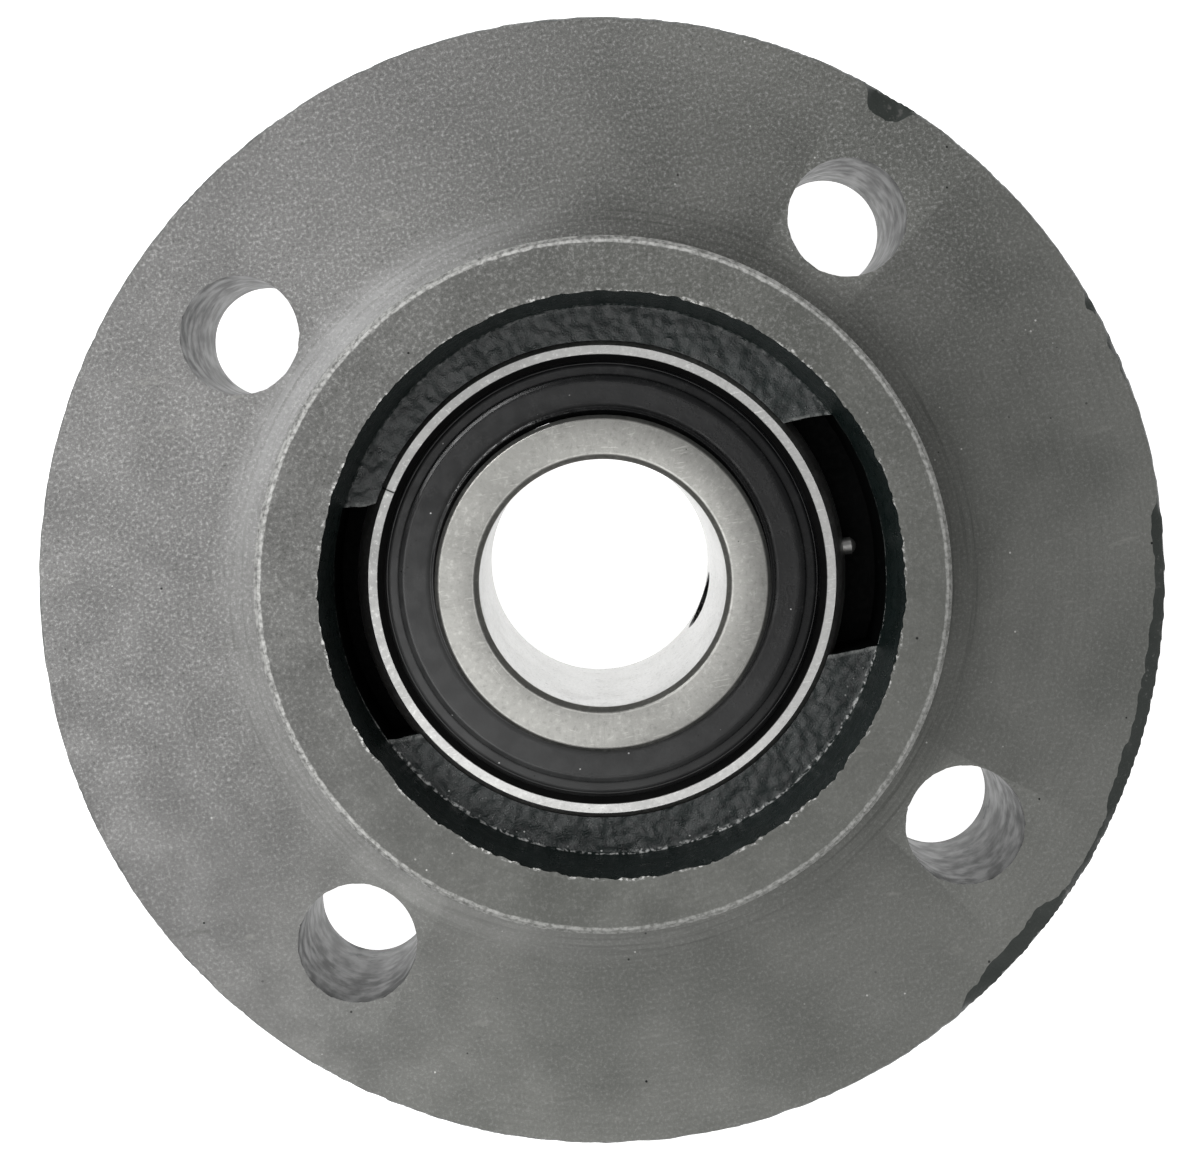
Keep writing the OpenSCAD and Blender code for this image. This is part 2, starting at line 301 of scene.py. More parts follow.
def at_bolts(name, outline, segments=96, shape=None):
    """One turned solid at each bolt hole."""
    out = []
    for i, angle in enumerate(BOLT_ANGLES):
        solid = lathe(f"{name}_{i}", outline, segments, shape)
        centre = (BOLT_CIRCLE_R * math.cos(angle), BOLT_CIRCLE_R * math.sin(angle), 0)
        out.append(place(solid, Matrix.Translation(centre)))
    return out


# ---------------------------------------------------------------- housing

FLANGE_FRONT = -12.0
HUB_FRONT = -21.5
HUB_FOOT_R = 37.0
HUB_TOP_R = 33.0
STOCK = 0.9
SPIGOT_CHAMFER = 0.4
BOSS_FRONT = -22.4
BOSS_TOP_R = 11.8
BOSS_FOOT_R = 12.6
SPOT_FACE_Z = -22.0
SPOT_FACE_R = 10.3
CAVITY_FLOOR_Z = -1.8
CAVITY_FLOOR_R = 28.5
CAVITY_MOUTH_R = 29.4
CAVITY_OFFSET = 0.85
CAVITY_EDGE_R = 0.3
FACE_FILLET = 0.35
HUB_FACE_R = HUB_TOP_R - 0.6
SEAT_R = OUTER_RING_R + 0.05
SLOT_HALF = 12.25
SLOT_OUT_R = 28.6
SLOT_FLOOR_Z = -10.5
FRONT_OPENING_R = 24.7
VOXEL = 0.55
BELOW = -40.0  # further down than the casting reaches
CAVITY_R = 31.0  # everything inside this radius and above the slots is painted hollow

NIPPLE_TILT = math.radians(25)
NIPPLE_RUN = 12.0
NIPPLE_START = Vector((0, math.sqrt(OUTER_RING_R ** 2 - 3.5 ** 2), BALL_Z - 3.5))


def nipple_frame():
    """Local z runs outwards along the nipple, from its seat on the boss."""
    tilt = Matrix.Rotation(-math.pi / 2 - NIPPLE_TILT, 4, "X")
    return Matrix.Translation(NIPPLE_START) @ tilt @ Matrix.Translation((0, 0, NIPPLE_RUN))


# Places along the rim that the facing cut missed: seen angle and half spread in degrees, width in mm
MISSED = [
    (0, 11, 1.4), (-14, 16, 1.6), (-31, 8, 0.8), (-40.5, 7, 2.0), (-46, 5.5, 1.5), (59, 3.0, 2.5),
    (29.5, 1.2, 1.1), (24.5, 1.2, 0.8), (21.7, 1.0, 0.8)]
MISSED_SLOPE = 0.35


def low_edge(points):
    """Lets the back of the raw casting fall away where the facing cut missed it."""
    radius, angle = polar(points)
    reach = np.full(len(points), RIM_R + 2.5)
    for centre, spread, width in MISSED:
        near = np.abs(turned(angle, seen_angle(centre)))
        low = smoothstep(math.radians(spread), math.radians(spread * 0.6), near)
        reach = np.minimum(reach, RIM_R + 2.5 - (2.5 + width) * low)
    back = (points[:, 2] > 0) & (radius > SPIGOT_R + 6)
    points[back, 2] = np.minimum(points[back, 2], (reach[back] - radius[back]) * MISSED_SLOPE)
    return points


def raw_casting():
    rim = RIM_R + 0.12
    fillet = 3.0
    outline = (
        [(0, SPIGOT_TOP + STOCK), (SPIGOT_R + 1.4, SPIGOT_TOP + STOCK), (SPIGOT_R + 1.4, STOCK)]
        + [(rim - 1.2, STOCK), (rim, STOCK - 1.3)]
        + arc(rim - 2.5, FLANGE_FRONT + 2.5, 2.5, 0, -90)
        + arc(HUB_FOOT_R + fillet, FLANGE_FRONT - fillet, fillet, 90, 165)
        + arc(HUB_TOP_R - 1.5, HUB_FRONT + 1.1, 1.5, -20, -90)
        + [(0, HUB_FRONT - 0.4)]
    )
    casting = lathe("housing_casting", refine(outline, 1.0), 360, low_edge)
    boss = refine(soften([
        (0, -6), (BOSS_FOOT_R, -6), (BOSS_TOP_R, BOSS_FRONT), (0, BOSS_FRONT)], 1.2, closed=False), 2.0, closed=False)
    bosses = at_bolts("boss", boss)
    nipple_boss = lathe("nipple_boss", [(0, -9), (5.5, -9), (5.5, -0.4), (5.1, 0), (0, 0)], 64)
    place(nipple_boss, nipple_frame())
    combine(casting, bosses + [nipple_boss], "UNION")
    remesh = casting.modifiers.new("cast", "REMESH")
    remesh.mode, remesh.voxel_size = "VOXEL", VOXEL * MM
    melt = casting.modifiers.new("melt", "SMOOTH")
    melt.factor, melt.iterations = 0.5, 6
    bake(casting)
    roughen(casting, [(0.10, 7.0, 2, 1), (0.10, 1.7, 3, 2)])
    return trim_rim(casting)


def trim_rim(casting):
    """Presses the rim in where the rough skin would stand out beyond its real radius."""
    points = np.array([vertex.co for vertex in casting.data.vertices]) / MM
    radius, _ = polar(points)
    limit = RIM_R - 0.02
    over = np.maximum(radius / limit, 1)
    points[:, :2] /= over[:, None]
    casting.data.vertices.foreach_set("co", (points * MM).ravel())
    return casting


def cavity_cutter():
    def shape(points):
        radius, angle = polar(points)
        height = points[:, 2] - CAVITY_FLOOR_Z
        rise = np.clip(height / (SPIGOT_TOP - CAVITY_FLOOR_Z), 0, 1.2)
        wall = smoothstep(0.2, 1.5, height)
        mouth = smoothstep(0.75, 1.0, rise)
        edge = 0.16 * noise_at(points * [1, 1, 0.3], 3.4, 2, 4) + 0.13 * noise_at(points * [1, 1, 0.3], 1.0, 3, 9)
        edge += 0.10 * noise_at(points * [1, 1, 0.3], 0.42, 2, 14)
        swell = 0.12 * noise_at(points * [1, 1, 0.3], 9.0, 2, 3) + 0.05 * noise_at(points, 2.0, 3, 5)
        chips = 1.0 - 0.35 * np.cos(turned(angle, seen_angle(120)))
        grow = np.where(radius > 20, wall * swell + mouth * edge * chips, 0)
        scale = 1 + grow / np.maximum(radius, 1)
        points = points * np.stack([scale, scale, np.ones_like(scale)], axis=1)
        shift = CAVITY_OFFSET * (radius > 20)
        points[:, 0] += shift * math.cos(seen_angle(0))
        points[:, 1] += shift * math.sin(seen_angle(0))
        floor = (1 - smoothstep(0.0, 0.8, height)) * (radius > 22) * smoothstep(29.2, 28.0, radius)
        lumps = 0.12 * noise_at(points, 1.9, 2, 6) + 0.14 * noise_at(points, 0.75, 3, 7)
        points[:, 2] += floor * lumps
        return points

    over = 1.5
    slope = (CAVITY_MOUTH_R - CAVITY_FLOOR_R) / (SPIGOT_TOP - CAVITY_FLOOR_Z)
    wall = (
        refine([(23.5, CAVITY_FLOOR_Z), (CAVITY_FLOOR_R - 0.35, CAVITY_FLOOR_Z)], 0.32, closed=False)
        + arc(CAVITY_FLOOR_R - CAVITY_EDGE_R, CAVITY_FLOOR_Z + CAVITY_EDGE_R, CAVITY_EDGE_R, -90, 0, 3)[1:]
        + refine([
            (CAVITY_FLOOR_R + 0.04, CAVITY_FLOOR_Z + 0.4),
            (CAVITY_MOUTH_R + slope * over, SPIGOT_TOP + over)], 0.4, closed=False)
    )
    outline = [(0, CAVITY_FLOOR_Z), *wall, (0, SPIGOT_TOP + over)]
    return lathe("cavity", outline, 560, shape)


def slot_cutters():
    """The two loading slots, with the wavy edges of a rough milled cut."""
    reach = math.asin(SLOT_HALF / SLOT_OUT_R)
    out = []
    for side in (0, math.pi):
        edge = [(20, -SLOT_HALF)]
        edge += [
            (SLOT_OUT_R * math.cos(a), SLOT_OUT_R * math.sin(a)) for a in np.linspace(-reach, reach, 40)]
        edge = refine(edge + [(20, SLOT_HALF)], 0.45, closed=False)
        corners = []
        for x, y in edge:
            wave = 0.28 * noise.fractal(Vector((x, y, side)) / 2.6, 0.8, 2.0, 2)
            corners.append((
                math.cos(side) * x + CAVITY_OFFSET * math.cos(seen_angle(0)), math.cos(side) * y + wave))
        levels = np.linspace(SLOT_FLOOR_Z, CAVITY_FLOOR_Z + 1.0, 8)
        out.append(prism(f"slot_{side:.0f}", corners, levels))
    return out


def drill_outline(radius, low, high, step=0.8):
    return [(0, low)] + refine([(radius, low), (radius, high)], step, closed=False) + [(0, high)]


def drill_shape(points):
    """A drilled wall with slight ripple, and chips at the mounting face."""
    radius, _ = polar(points)
    ripple = 0.025 * noise_at(points, 1.6, 2, 8)
    chips = 0.16 * smoothstep(-0.8, 0.0, points[:, 2]) * np.maximum(0, noise_at(points * [1, 1, 0.3], 0.9, 3, 12))
    grow = np.where(radius > 1, (ripple + chips) / np.maximum(radius, 1), 0)
    points[:, :2] *= 1 + grow[:, None]
    return points


def machine(casting):
    """Cuts the machined faces, the seat and the holes into the rough casting."""
    wide = RIM_R + 12
    face = lathe("face", [
        (0, SPIGOT_TOP), (SPIGOT_R - SPIGOT_CHAMFER, SPIGOT_TOP), (SPIGOT_R, SPIGOT_TOP - SPIGOT_CHAMFER),
        (SPIGOT_R, FACE_FILLET), (SPIGOT_R + 0.1, 0.1), (SPIGOT_R + FACE_FILLET, 0),
        (wide, 0), (wide, 20), (0, 20)], 360)
    hub_face = lathe("hub_face", [
        (0, HUB_FRONT - 6), (HUB_FACE_R, HUB_FRONT - 6), (HUB_FACE_R, HUB_FRONT), (0, HUB_FRONT)], 256)
    seat_edge = math.degrees(math.acos(FRONT_OPENING_R / SEAT_R))
    seat = lathe("seat", [
        (0, BALL_Z + 9.5), (SEAT_R * math.cos(math.radians(21.4)), BALL_Z + 9.5),
        *arc(0, BALL_Z, SEAT_R, 21.4, -seat_edge, 20),
        (FRONT_OPENING_R, HUB_FRONT + 0.5), (FRONT_OPENING_R + 0.6, HUB_FRONT - 0.1),
        (FRONT_OPENING_R + 0.6, BELOW), (0, BELOW)], 256)
    holes = at_bolts("bolt_hole", drill_outline(BOLT_HOLE_R, BELOW, 5), 128, drill_shape)
    spots = at_bolts("spot_face", [
        (0, SPOT_FACE_Z), (0, BELOW), (SPOT_FACE_R, BELOW), (SPOT_FACE_R, SPOT_FACE_Z)], 96)
    thread = lathe("nipple_hole", [(0, -6.5), (3.02, -6.5), (3.02, -0.3), (3.4, 0.1), (3.4, 6), (0, 6)], 64)
    passage = lathe("passage", [(0, -13), (1.25, -13), (1.25, -5), (0, -5)], 32)
    for cutter in (thread, passage):
        place(cutter, nipple_frame())
    combine(casting, [face, hub_face, cavity_cutter()])
    combine(casting, slot_cutters())
    combine(casting, [seat] + holes)
    return combine(casting, spots + [thread, passage])


CAST_PAINT, MACHINED, DRILLED, CAVITY, SLOT = range(5)


def sort_faces(mesh):
    """Gives each face of the housing the material of the way it was made, by where it lies; the deep slot faces get a
    near-black painted shade.
    """
    count = len(mesh.polygons)
    centres = np.empty(count * 3)
    normals = np.empty(count * 3)
    mesh.polygons.foreach_get("center", centres)
    mesh.polygons.foreach_get("normal", normals)
    centres = centres.reshape(-1, 3) / MM
    normals = normals.reshape(-1, 3)
    radius, _ = polar(centres)
    z, up = centres[:, 2], normals[:, 2]
    flat = 0.999
    kind = np.full(count, CAST_PAINT)
    inside = (radius < CAVITY_R) & (z > SLOT_FLOOR_Z - 0.5)
    kind[inside] = CAVITY
    kind[inside & (z < CAVITY_FLOOR_Z - 0.45)] = SLOT
    seat = (np.abs(np.hypot(radius, z - BALL_Z) - SEAT_R) < 0.03) & (np.abs(up) < 0.6)
    kind[seat | ((radius < FRONT_OPENING_R + 0.7) & (z < BALL_Z))] = MACHINED
    kind[(np.abs(z) < 0.01) & (up > flat)] = MACHINED
    kind[(np.abs(z - SPIGOT_TOP) < 0.01) & (up > flat)] = MACHINED
    kind[(radius > SPIGOT_R - 0.8) & (radius < SPIGOT_R + 0.4) & (z > 0)] = MACHINED
    kind[(np.abs(z - HUB_FRONT) < 0.01) & (up < -flat)] = MACHINED
    for angle in BOLT_ANGLES:
        away = np.hypot(
            centres[:, 0] - BOLT_CIRCLE_R * math.cos(angle), centres[:, 1] - BOLT_CIRCLE_R * math.sin(angle))
        kind[(away < BOLT_HOLE_R + 0.35) & (np.abs(up) < 0.8)] = DRILLED
        kind[(away < SPOT_FACE_R + 0.1) & (np.abs(z - SPOT_FACE_Z) < 0.01)] = MACHINED
    mesh.polygons.foreach_set("material_index", kind.astype(np.int32))


def build_housing():
    housing = machine(raw_casting())
    give(housing, cast_paint(), machined_iron(), drilled_iron(), cavity_paint(), painted_slot_shade())
    sort_faces(housing.data)
    finish_surface(housing, 30)
    return housing


# ---------------------------------------------------------------- bearing insert

SEAL_DROP = 0.45
SHOULDER_R = 22.0
CORE_IN_R, CORE_OUT_R = 18.3, 22.4
RACE_R = 0.516 * 2 * BALL_R
RACE_PLAY = 0.03
PIN_LIFT = 4.0
GREASE_GROOVE_Z = -3.5
LIP_R = INNER_R + 0.05


def at_insert(obj, flip=False):
    """Moves a piece drawn about the ball centres into place, turned over for the front side."""
    turn = Matrix.Rotation(math.pi, 4, "X") if flip else Matrix.Identity(4)
    return place(obj, Matrix.Translation((0, 0, BALL_Z)) @ turn)


def pin_turn():
    """Turns something on the +X axis round to where the pin is."""
    low, high = box_mm("anti_rotation_pin")
    return Matrix.Rotation(math.atan2(low.y + high.y, low.x + high.x), 4, "Z")


def seal_seat_side(face):
    """One side of the outer ring's inside, from its shoulder out to its face."""
    return [
        (SHOULDER_R, face - 3.1), (22.7, face - 3.1), (22.7, face - 2.5), (23.2, face - 2.4), (23.2, face - 1.3),
        (22.7, face - 1.2), (22.7, face - 0.8), (23.3, face)]


def build_outer_ring():
    face = OUTER_FACE
    race_r = PITCH_R + BALL_R + RACE_PLAY - RACE_R
    edge = math.degrees(math.acos((SHOULDER_R - race_r) / RACE_R))
    top = seal_seat_side(face)
    bottom = [(r, -z) for r, z in top][::-1]
    outside_edge = math.degrees(math.asin((face - 0.75) / OUTER_RING_R))
    groove_low = math.degrees(math.asin(-4.3 / OUTER_RING_R))
    groove_high = math.degrees(math.asin(-2.7 / OUTER_RING_R))
    outside = (
        [(24.2, face)]
        + arc(0, 0, OUTER_RING_R, outside_edge, groove_high, 24)
        + [(25.4, -2.75), (25.4, -4.25)]
        + arc(0, 0, OUTER_RING_R, groove_low, -outside_edge, 8)
        + [(24.2, -face)]
    )
    race = arc(race_r, 0, RACE_R, -edge, edge, 16)
    ring = lathe("outer_ring_steel", outside + bottom + race + top, 320)
    pin_hole = lathe("pin_hole", [(0, 0), (0.93, 0), (0.93, 5), (0, 5)], 32)
    place(pin_hole, pin_turn() @ Matrix.Translation((24.45, 0, PIN_LIFT)) @ Matrix.Rotation(math.pi / 2, 4, "Y"))
    holes = [pin_hole]
    for angle in (90, 270):
        hole = lathe(f"grease_hole_{angle}", [(0, 19), (0.8, 19), (0.8, 28), (0, 28)], 32)
        turn = Matrix.Rotation(math.radians(angle), 4, "Z") @ Matrix.Rotation(math.pi / 2, 4, "Y")
        holes.append(place(hole, Matrix.Translation((0, 0, GREASE_GROOVE_Z)) @ turn))
    combine(ring, holes)
    return at_insert(ring)


def build_pin():
    outline = [(0, 0), (0.9, 0), (0.9, 1.95)] + arc(0, 1.6, 0.9, 22, 90, 6)
    pin = lathe("pin_steel", outline, 48)
    place(pin, pin_turn() @ Matrix.Translation((24.5, 0, PIN_LIFT)) @ Matrix.Rotation(math.pi / 2, 4, "Y"))
    return at_insert(pin)


def screw_frame(node):
    """Local z runs outwards along a set screw, from the axis of the shaft."""
    axis = Vector(JOINTS[node + "_travel"]["axis"])
    low, high = box_mm(node)
    turn = axis.to_track_quat("Z", "Y").to_matrix().to_4x4()
    return Matrix.Translation((0, 0, (low.z + high.z) / 2)) @ turn


THREAD_PITCH = 0.75
THREAD_DEPTH = 0.4
TAPPED_R = 3.04


def threaded_rod(name, radius, start, end, chamfer, segments=56):
    """A rod with a helical thread, chamfered at both ends. Local z runs along it."""
    rows = np.arange(start, end + 0.001, THREAD_PITCH / 10)
    outline = [(0, start)] + [(radius, z) for z in rows] + [(0, end)]

    def shape(points):
        own_r, angle = polar(points)
        z = points[:, 2]
        phase = (z / THREAD_PITCH - angle / (2 * math.pi)) % 1
        depth = THREAD_DEPTH * np.clip(1.25 * np.abs(2 * phase - 1) - 0.12, 0, 1)
        limit = radius - THREAD_DEPTH + np.minimum(z - start, end - z) * (THREAD_DEPTH + 0.3) / chamfer - 0.3
        new_r = np.minimum(radius - depth, limit)
        keep = own_r > 1
        scale = np.where(keep, new_r / np.maximum(own_r, 1e-6), 1)
        points[:, :2] *= scale[:, None]
        return points

    return lathe(name, outline, segments, shape)


def hexagon(name, width, low, high):
    corner = width / 2 / math.cos(math.pi / 6)
    corners = [
        (corner * math.cos(math.pi / 3 * i), corner * math.sin(math.pi / 3 * i)) for i in range(6)]
    return prism(name, refine(corners, 1.2), [low, high])


def build_set_screw(node):
    low, high = BORE_R + 0.4, BORE_R + 6.4
    screw = threaded_rod(node + "_steel", 2.98, low, high, 0.8)
    socket = hexagon("socket", 3.0, high - 2.6, high + 1)
    socket_mouth = lathe("socket_mouth", [
        (0, high - 0.35), (1.5, high - 0.35), (1.95, high + 0.2), (0, high + 0.2)], 48)
    cup = lathe("cup", [(0, low - 1), (1.9, low - 1), (1.35, low + 0.2), (0, low + 0.75)], 48)
    combine(screw, [socket, socket_mouth, cup])
    return place(screw, screw_frame(node))


def build_inner_ring():
    race_r = PITCH_R - BALL_R - RACE_PLAY + RACE_R
    edge = math.degrees(math.acos((race_r - INNER_R) / RACE_R))
    top, bottom = INNER_HIGH.z - BALL_Z, INNER_LOW.z - BALL_Z
    half = [
        (INNER_R, top - 0.45), (INNER_R - 0.4, top), (BORE_R + 0.5, top), (BORE_R, top - 0.7),
        (BORE_R, bottom + 0.7), (BORE_R + 0.5, bottom), (INNER_R - 0.4, bottom), (INNER_R, bottom + 0.45)]
    outline = soften(half, 0.13, 3, closed=False) + arc(race_r, 0, RACE_R, 180 + edge, 180 - edge, 16)
    ring = at_insert(lathe("inner_ring_steel", refine(outline, 3.0), 320))
    holes = []
    for node in ("set_screw_1", "set_screw_2"):
        tapped = lathe("tapped", [(0, 9), (TAPPED_R, 9), (TAPPED_R, 20), (0, 20)], 56)
        mouth = lathe("mouth", [
            (0, INNER_R - 0.5), (2.7, INNER_R - 0.5), (3.5, INNER_R + 0.3), (3.5, 20), (0, 20)], 48)
        inside = lathe("inside", [
            (0, BORE_R - 0.8), (3.7, BORE_R - 0.8), (2.6, BORE_R + 0.4), (0, BORE_R + 0.4)], 48)
        holes += [place(cutter, screw_frame(node)) for cutter in (tapped, mouth, inside)]
    return combine(ring, holes)


def tapped_faces(mesh):
    """Marks the faces inside the tapped holes as the second material."""
    for node in ("set_screw_1", "set_screw_2"):
        back = screw_frame(node).inverted()
        for face in mesh.polygons:
            spot = back @ (face.center / MM)
            radius = math.hypot(face.center.x, face.center.y) / MM
            near = spot.z > 0 and math.hypot(spot.x, spot.y) < 3.6
            if near and radius > BORE_R + 0.03 and abs(radius - INNER_R) > 0.03:
                face.material_index = 1


def build_seal_rubber(name, flip):
    face = OUTER_FACE
    flat = face - SEAL_DROP
    outline = [
        (LIP_R, face - 1.5), (LIP_R, face - 1.12), (LIP_R + 0.22, face - 0.86), (LIP_R + 0.34, face - 0.62),
        (LIP_R + 0.44, flat + 0.03), (LIP_R + 0.54, flat + 0.05), (LIP_R + 0.60, flat + 0.03),
        (LIP_R + 0.66, flat + 0.007), (LIP_R + 0.78, flat - 0.039), (LIP_R + 0.82, flat - 0.045),
        *refine([(LIP_R + 0.9, flat), (20.55, flat)], 0.5, closed=False),
        (20.64, flat - 0.012), (20.72, flat - 0.036), (20.79, flat - 0.063), (20.99, flat - 0.140),
        (21.06, flat - 0.167), (21.13, flat - 0.22), (21.17, flat - 0.30),
        (21.20, flat - 0.40), (21.24, face - 1.08), (21.38, face - 1.13), (21.95, face - 1.08),
        (22.18, face - 1.14), (22.32, face - 1.32),
        (22.36, face - 1.55), (22.7, face - 1.75), (23.1, face - 1.85), (23.1, face - 2.2), (22.6, face - 2.4),
        (22.42, face - 2.4),
        (22.42, face - 1.4), (18.3, face - 1.4), (18.3, face - 1.9), (17.8, face - 1.9)]

    def shape(points):
        """Flash left on the moulded lip, heaviest at the upper left."""
        radius, angle = polar(points)
        lip = (radius < LIP_R + 0.65) & (points[:, 2] > face - 0.95)
        around = np.stack([np.cos(angle) * 17, np.sin(angle) * 17, np.zeros_like(angle)], axis=1)
        sector = 0.35 + smoothstep(0.9, 0.4, np.abs(turned(angle, seen_angle(135))))
        beads = np.maximum(0, noise_at(around, 0.32, 2, 21)) * 0.10 + 0.02 * noise_at(around, 1.2, 2, 22)
        points[lip, 2] += (beads * sector)[lip]
        return points

    rubber = lathe(name, outline, 420, None if flip else shape)
    return at_insert(rubber, flip)


def build_seal_core(name, flip):
    face = OUTER_FACE
    outline = soften([
        (CORE_IN_R, face - 1.9), (CORE_OUT_R, face - 1.9), (CORE_OUT_R, face - 1.4), (CORE_IN_R, face - 1.4)], 0.12)
    return at_insert(lathe(name, outline, 192), flip)


CAGE_IN_R, CAGE_OUT_R, CAGE_T = 18.1, 20.9, 0.75
POCKET_R = BALL_R + 0.13


def build_cage(name, flip):
    """One pressed half of the ribbon cage: a band that swells over each ball."""
    turns, across = 720, 8
    step = 2 * math.pi / BALL_COUNT
    edge_soft = 0.16
    points = []
    for i in range(turns):
        angle = 2 * math.pi * i / turns
        off = turned(np.array([angle]), step * round(angle / step))[0]
        rows = []
        for j in range(across + 1):
            r = CAGE_IN_R + (CAGE_OUT_R - CAGE_IN_R) * j / across
            away = math.hypot(r * math.cos(off) - PITCH_R, r * math.sin(off))
            low = math.sqrt(max(0, POCKET_R ** 2 - away ** 2))
            high = max(CAGE_T, math.sqrt(max(0, (POCKET_R + CAGE_T) ** 2 - away ** 2)))
            blend = 0.35 * math.exp(-((away - POCKET_R - CAGE_T + 0.2) / 0.5) ** 2)
            round_off = edge_soft if j in (0, across) else 0
            rows.append((r, low, max(low + 0.25, high + blend * 0.4 - round_off)))
        ring = [(r, low) for r, low, _ in rows] + [(r, high) for r, _, high in reversed(rows)]
        points += [(r * math.cos(angle), r * math.sin(angle), z) for r, z in ring]
    return at_insert(make(name, points, tube_faces(turns, 2 * (across + 1))), flip)


def build_rivets():
    """Round-headed rivets between the pockets, in one piece like the CAD node."""
    head = CAGE_T + 0.45
    outline = (
        arc(0, CAGE_T, 1.1, 0, 90, 5)[:-1]
        + [(0, head)] + [(0, -head)]
        + [(r, -z) for r, z in arc(0, CAGE_T, 1.1, 0, 90, 5)[:-1]][::-1]
        + [(0.6, -CAGE_T), (0.6, CAGE_T)]
    )
    outline = [(r, math.copysign(min(abs(z), head), z)) for r, z in outline]
    rivets = []
    for i in range(BALL_COUNT):
        angle = 2 * math.pi * (i + 0.5) / BALL_COUNT
        rivet = lathe("rivet", outline, 24)
        centre = (PITCH_R * math.cos(angle), PITCH_R * math.sin(angle), BALL_Z)
        rivets.append(place(rivet, Matrix.Translation(centre)))
    work = bmesh.new()
    for rivet in rivets:
        work.from_mesh(rivet.data)
        bpy.data.objects.remove(rivet)
    mesh = bpy.data.meshes.new("cage_rivets_steel")
    work.to_mesh(mesh)
    work.free()
    return link("cage_rivets_steel", mesh)


def build_ball(node, radius, subdivisions):
    """A steel ball in the middle of its CAD node."""
    low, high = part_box(node)
    work = bmesh.new()
    bmesh.ops.create_icosphere(work, subdivisions=subdivisions, radius=radius * MM)
    mesh = bpy.data.meshes.new(node + "_steel")
    work.to_mesh(mesh)
    work.free()
    mesh.transform(Matrix.Translation((low + high) / 2))
    return link(mesh.name, mesh)


# ---------------------------------------------------------------- grease nipple

def build_nipple():
    body = lathe("grease_nipple_steel", soften([
        (0, -6.4), (2.7, -6.4), (3.0, -6.0), (3.0, 1.5), (3.0, 3.6), (2.3, 4.4), (2.3, 5.4),
        (3.25, 6.3), (3.25, 7.0), (1.7, 9.6), (0, 9.6)], 0.18, 3, closed=False), 96)
    nut = hexagon("nut", 7.0, 0, 3.0)
    bevel = lathe("bevel", [(0, -0.2), (3.75, -0.2), (4.2, 0.25), (4.2, 2.6), (3.5, 3.1), (0, 3.1)], 96)
    combine(nut, [bevel], "INTERSECT")
    combine(body, [nut], "UNION")
    mouth = lathe("mouth", [(0, -8), (0.85, -8), (0.85, 9.4), (1.05, 9.8), (0, 9.8)], 48)
    chamber = lathe("chamber", [(0, 2), (1.3, 2), (1.3, 8.6), (0, 8.6)], 48)
    combine(body, [mouth, chamber])
    return place(body, nipple_frame())


SPRING_LOW, SPRING_HIGH = 2.2, 6.75


def build_spring():
    """A coil spring, swept along its helix."""
    low, high, coil_r, wire_r, turns, steps, sides = SPRING_LOW, SPRING_HIGH, 0.85, 0.16, 6, 36, 12
    rings = turns * steps
    points = []
    for i in range(rings + 1):
        a = 2 * math.pi * i / steps
        z = low + (high - low) * i / rings
        for k in range(sides):
            b = 2 * math.pi * k / sides
            r = coil_r + wire_r * math.cos(b)
            points.append((r * math.cos(a), r * math.sin(a), z + wire_r * math.sin(b)))
    faces = tube_faces(rings + 1, sides, closed=False)
    faces += [tuple(range(sides)), tuple(range(rings * sides, (rings + 1) * sides))[::-1]]
    return place(make("nipple_spring_wire", points, faces), nipple_frame())


# ---------------------------------------------------------------- materials

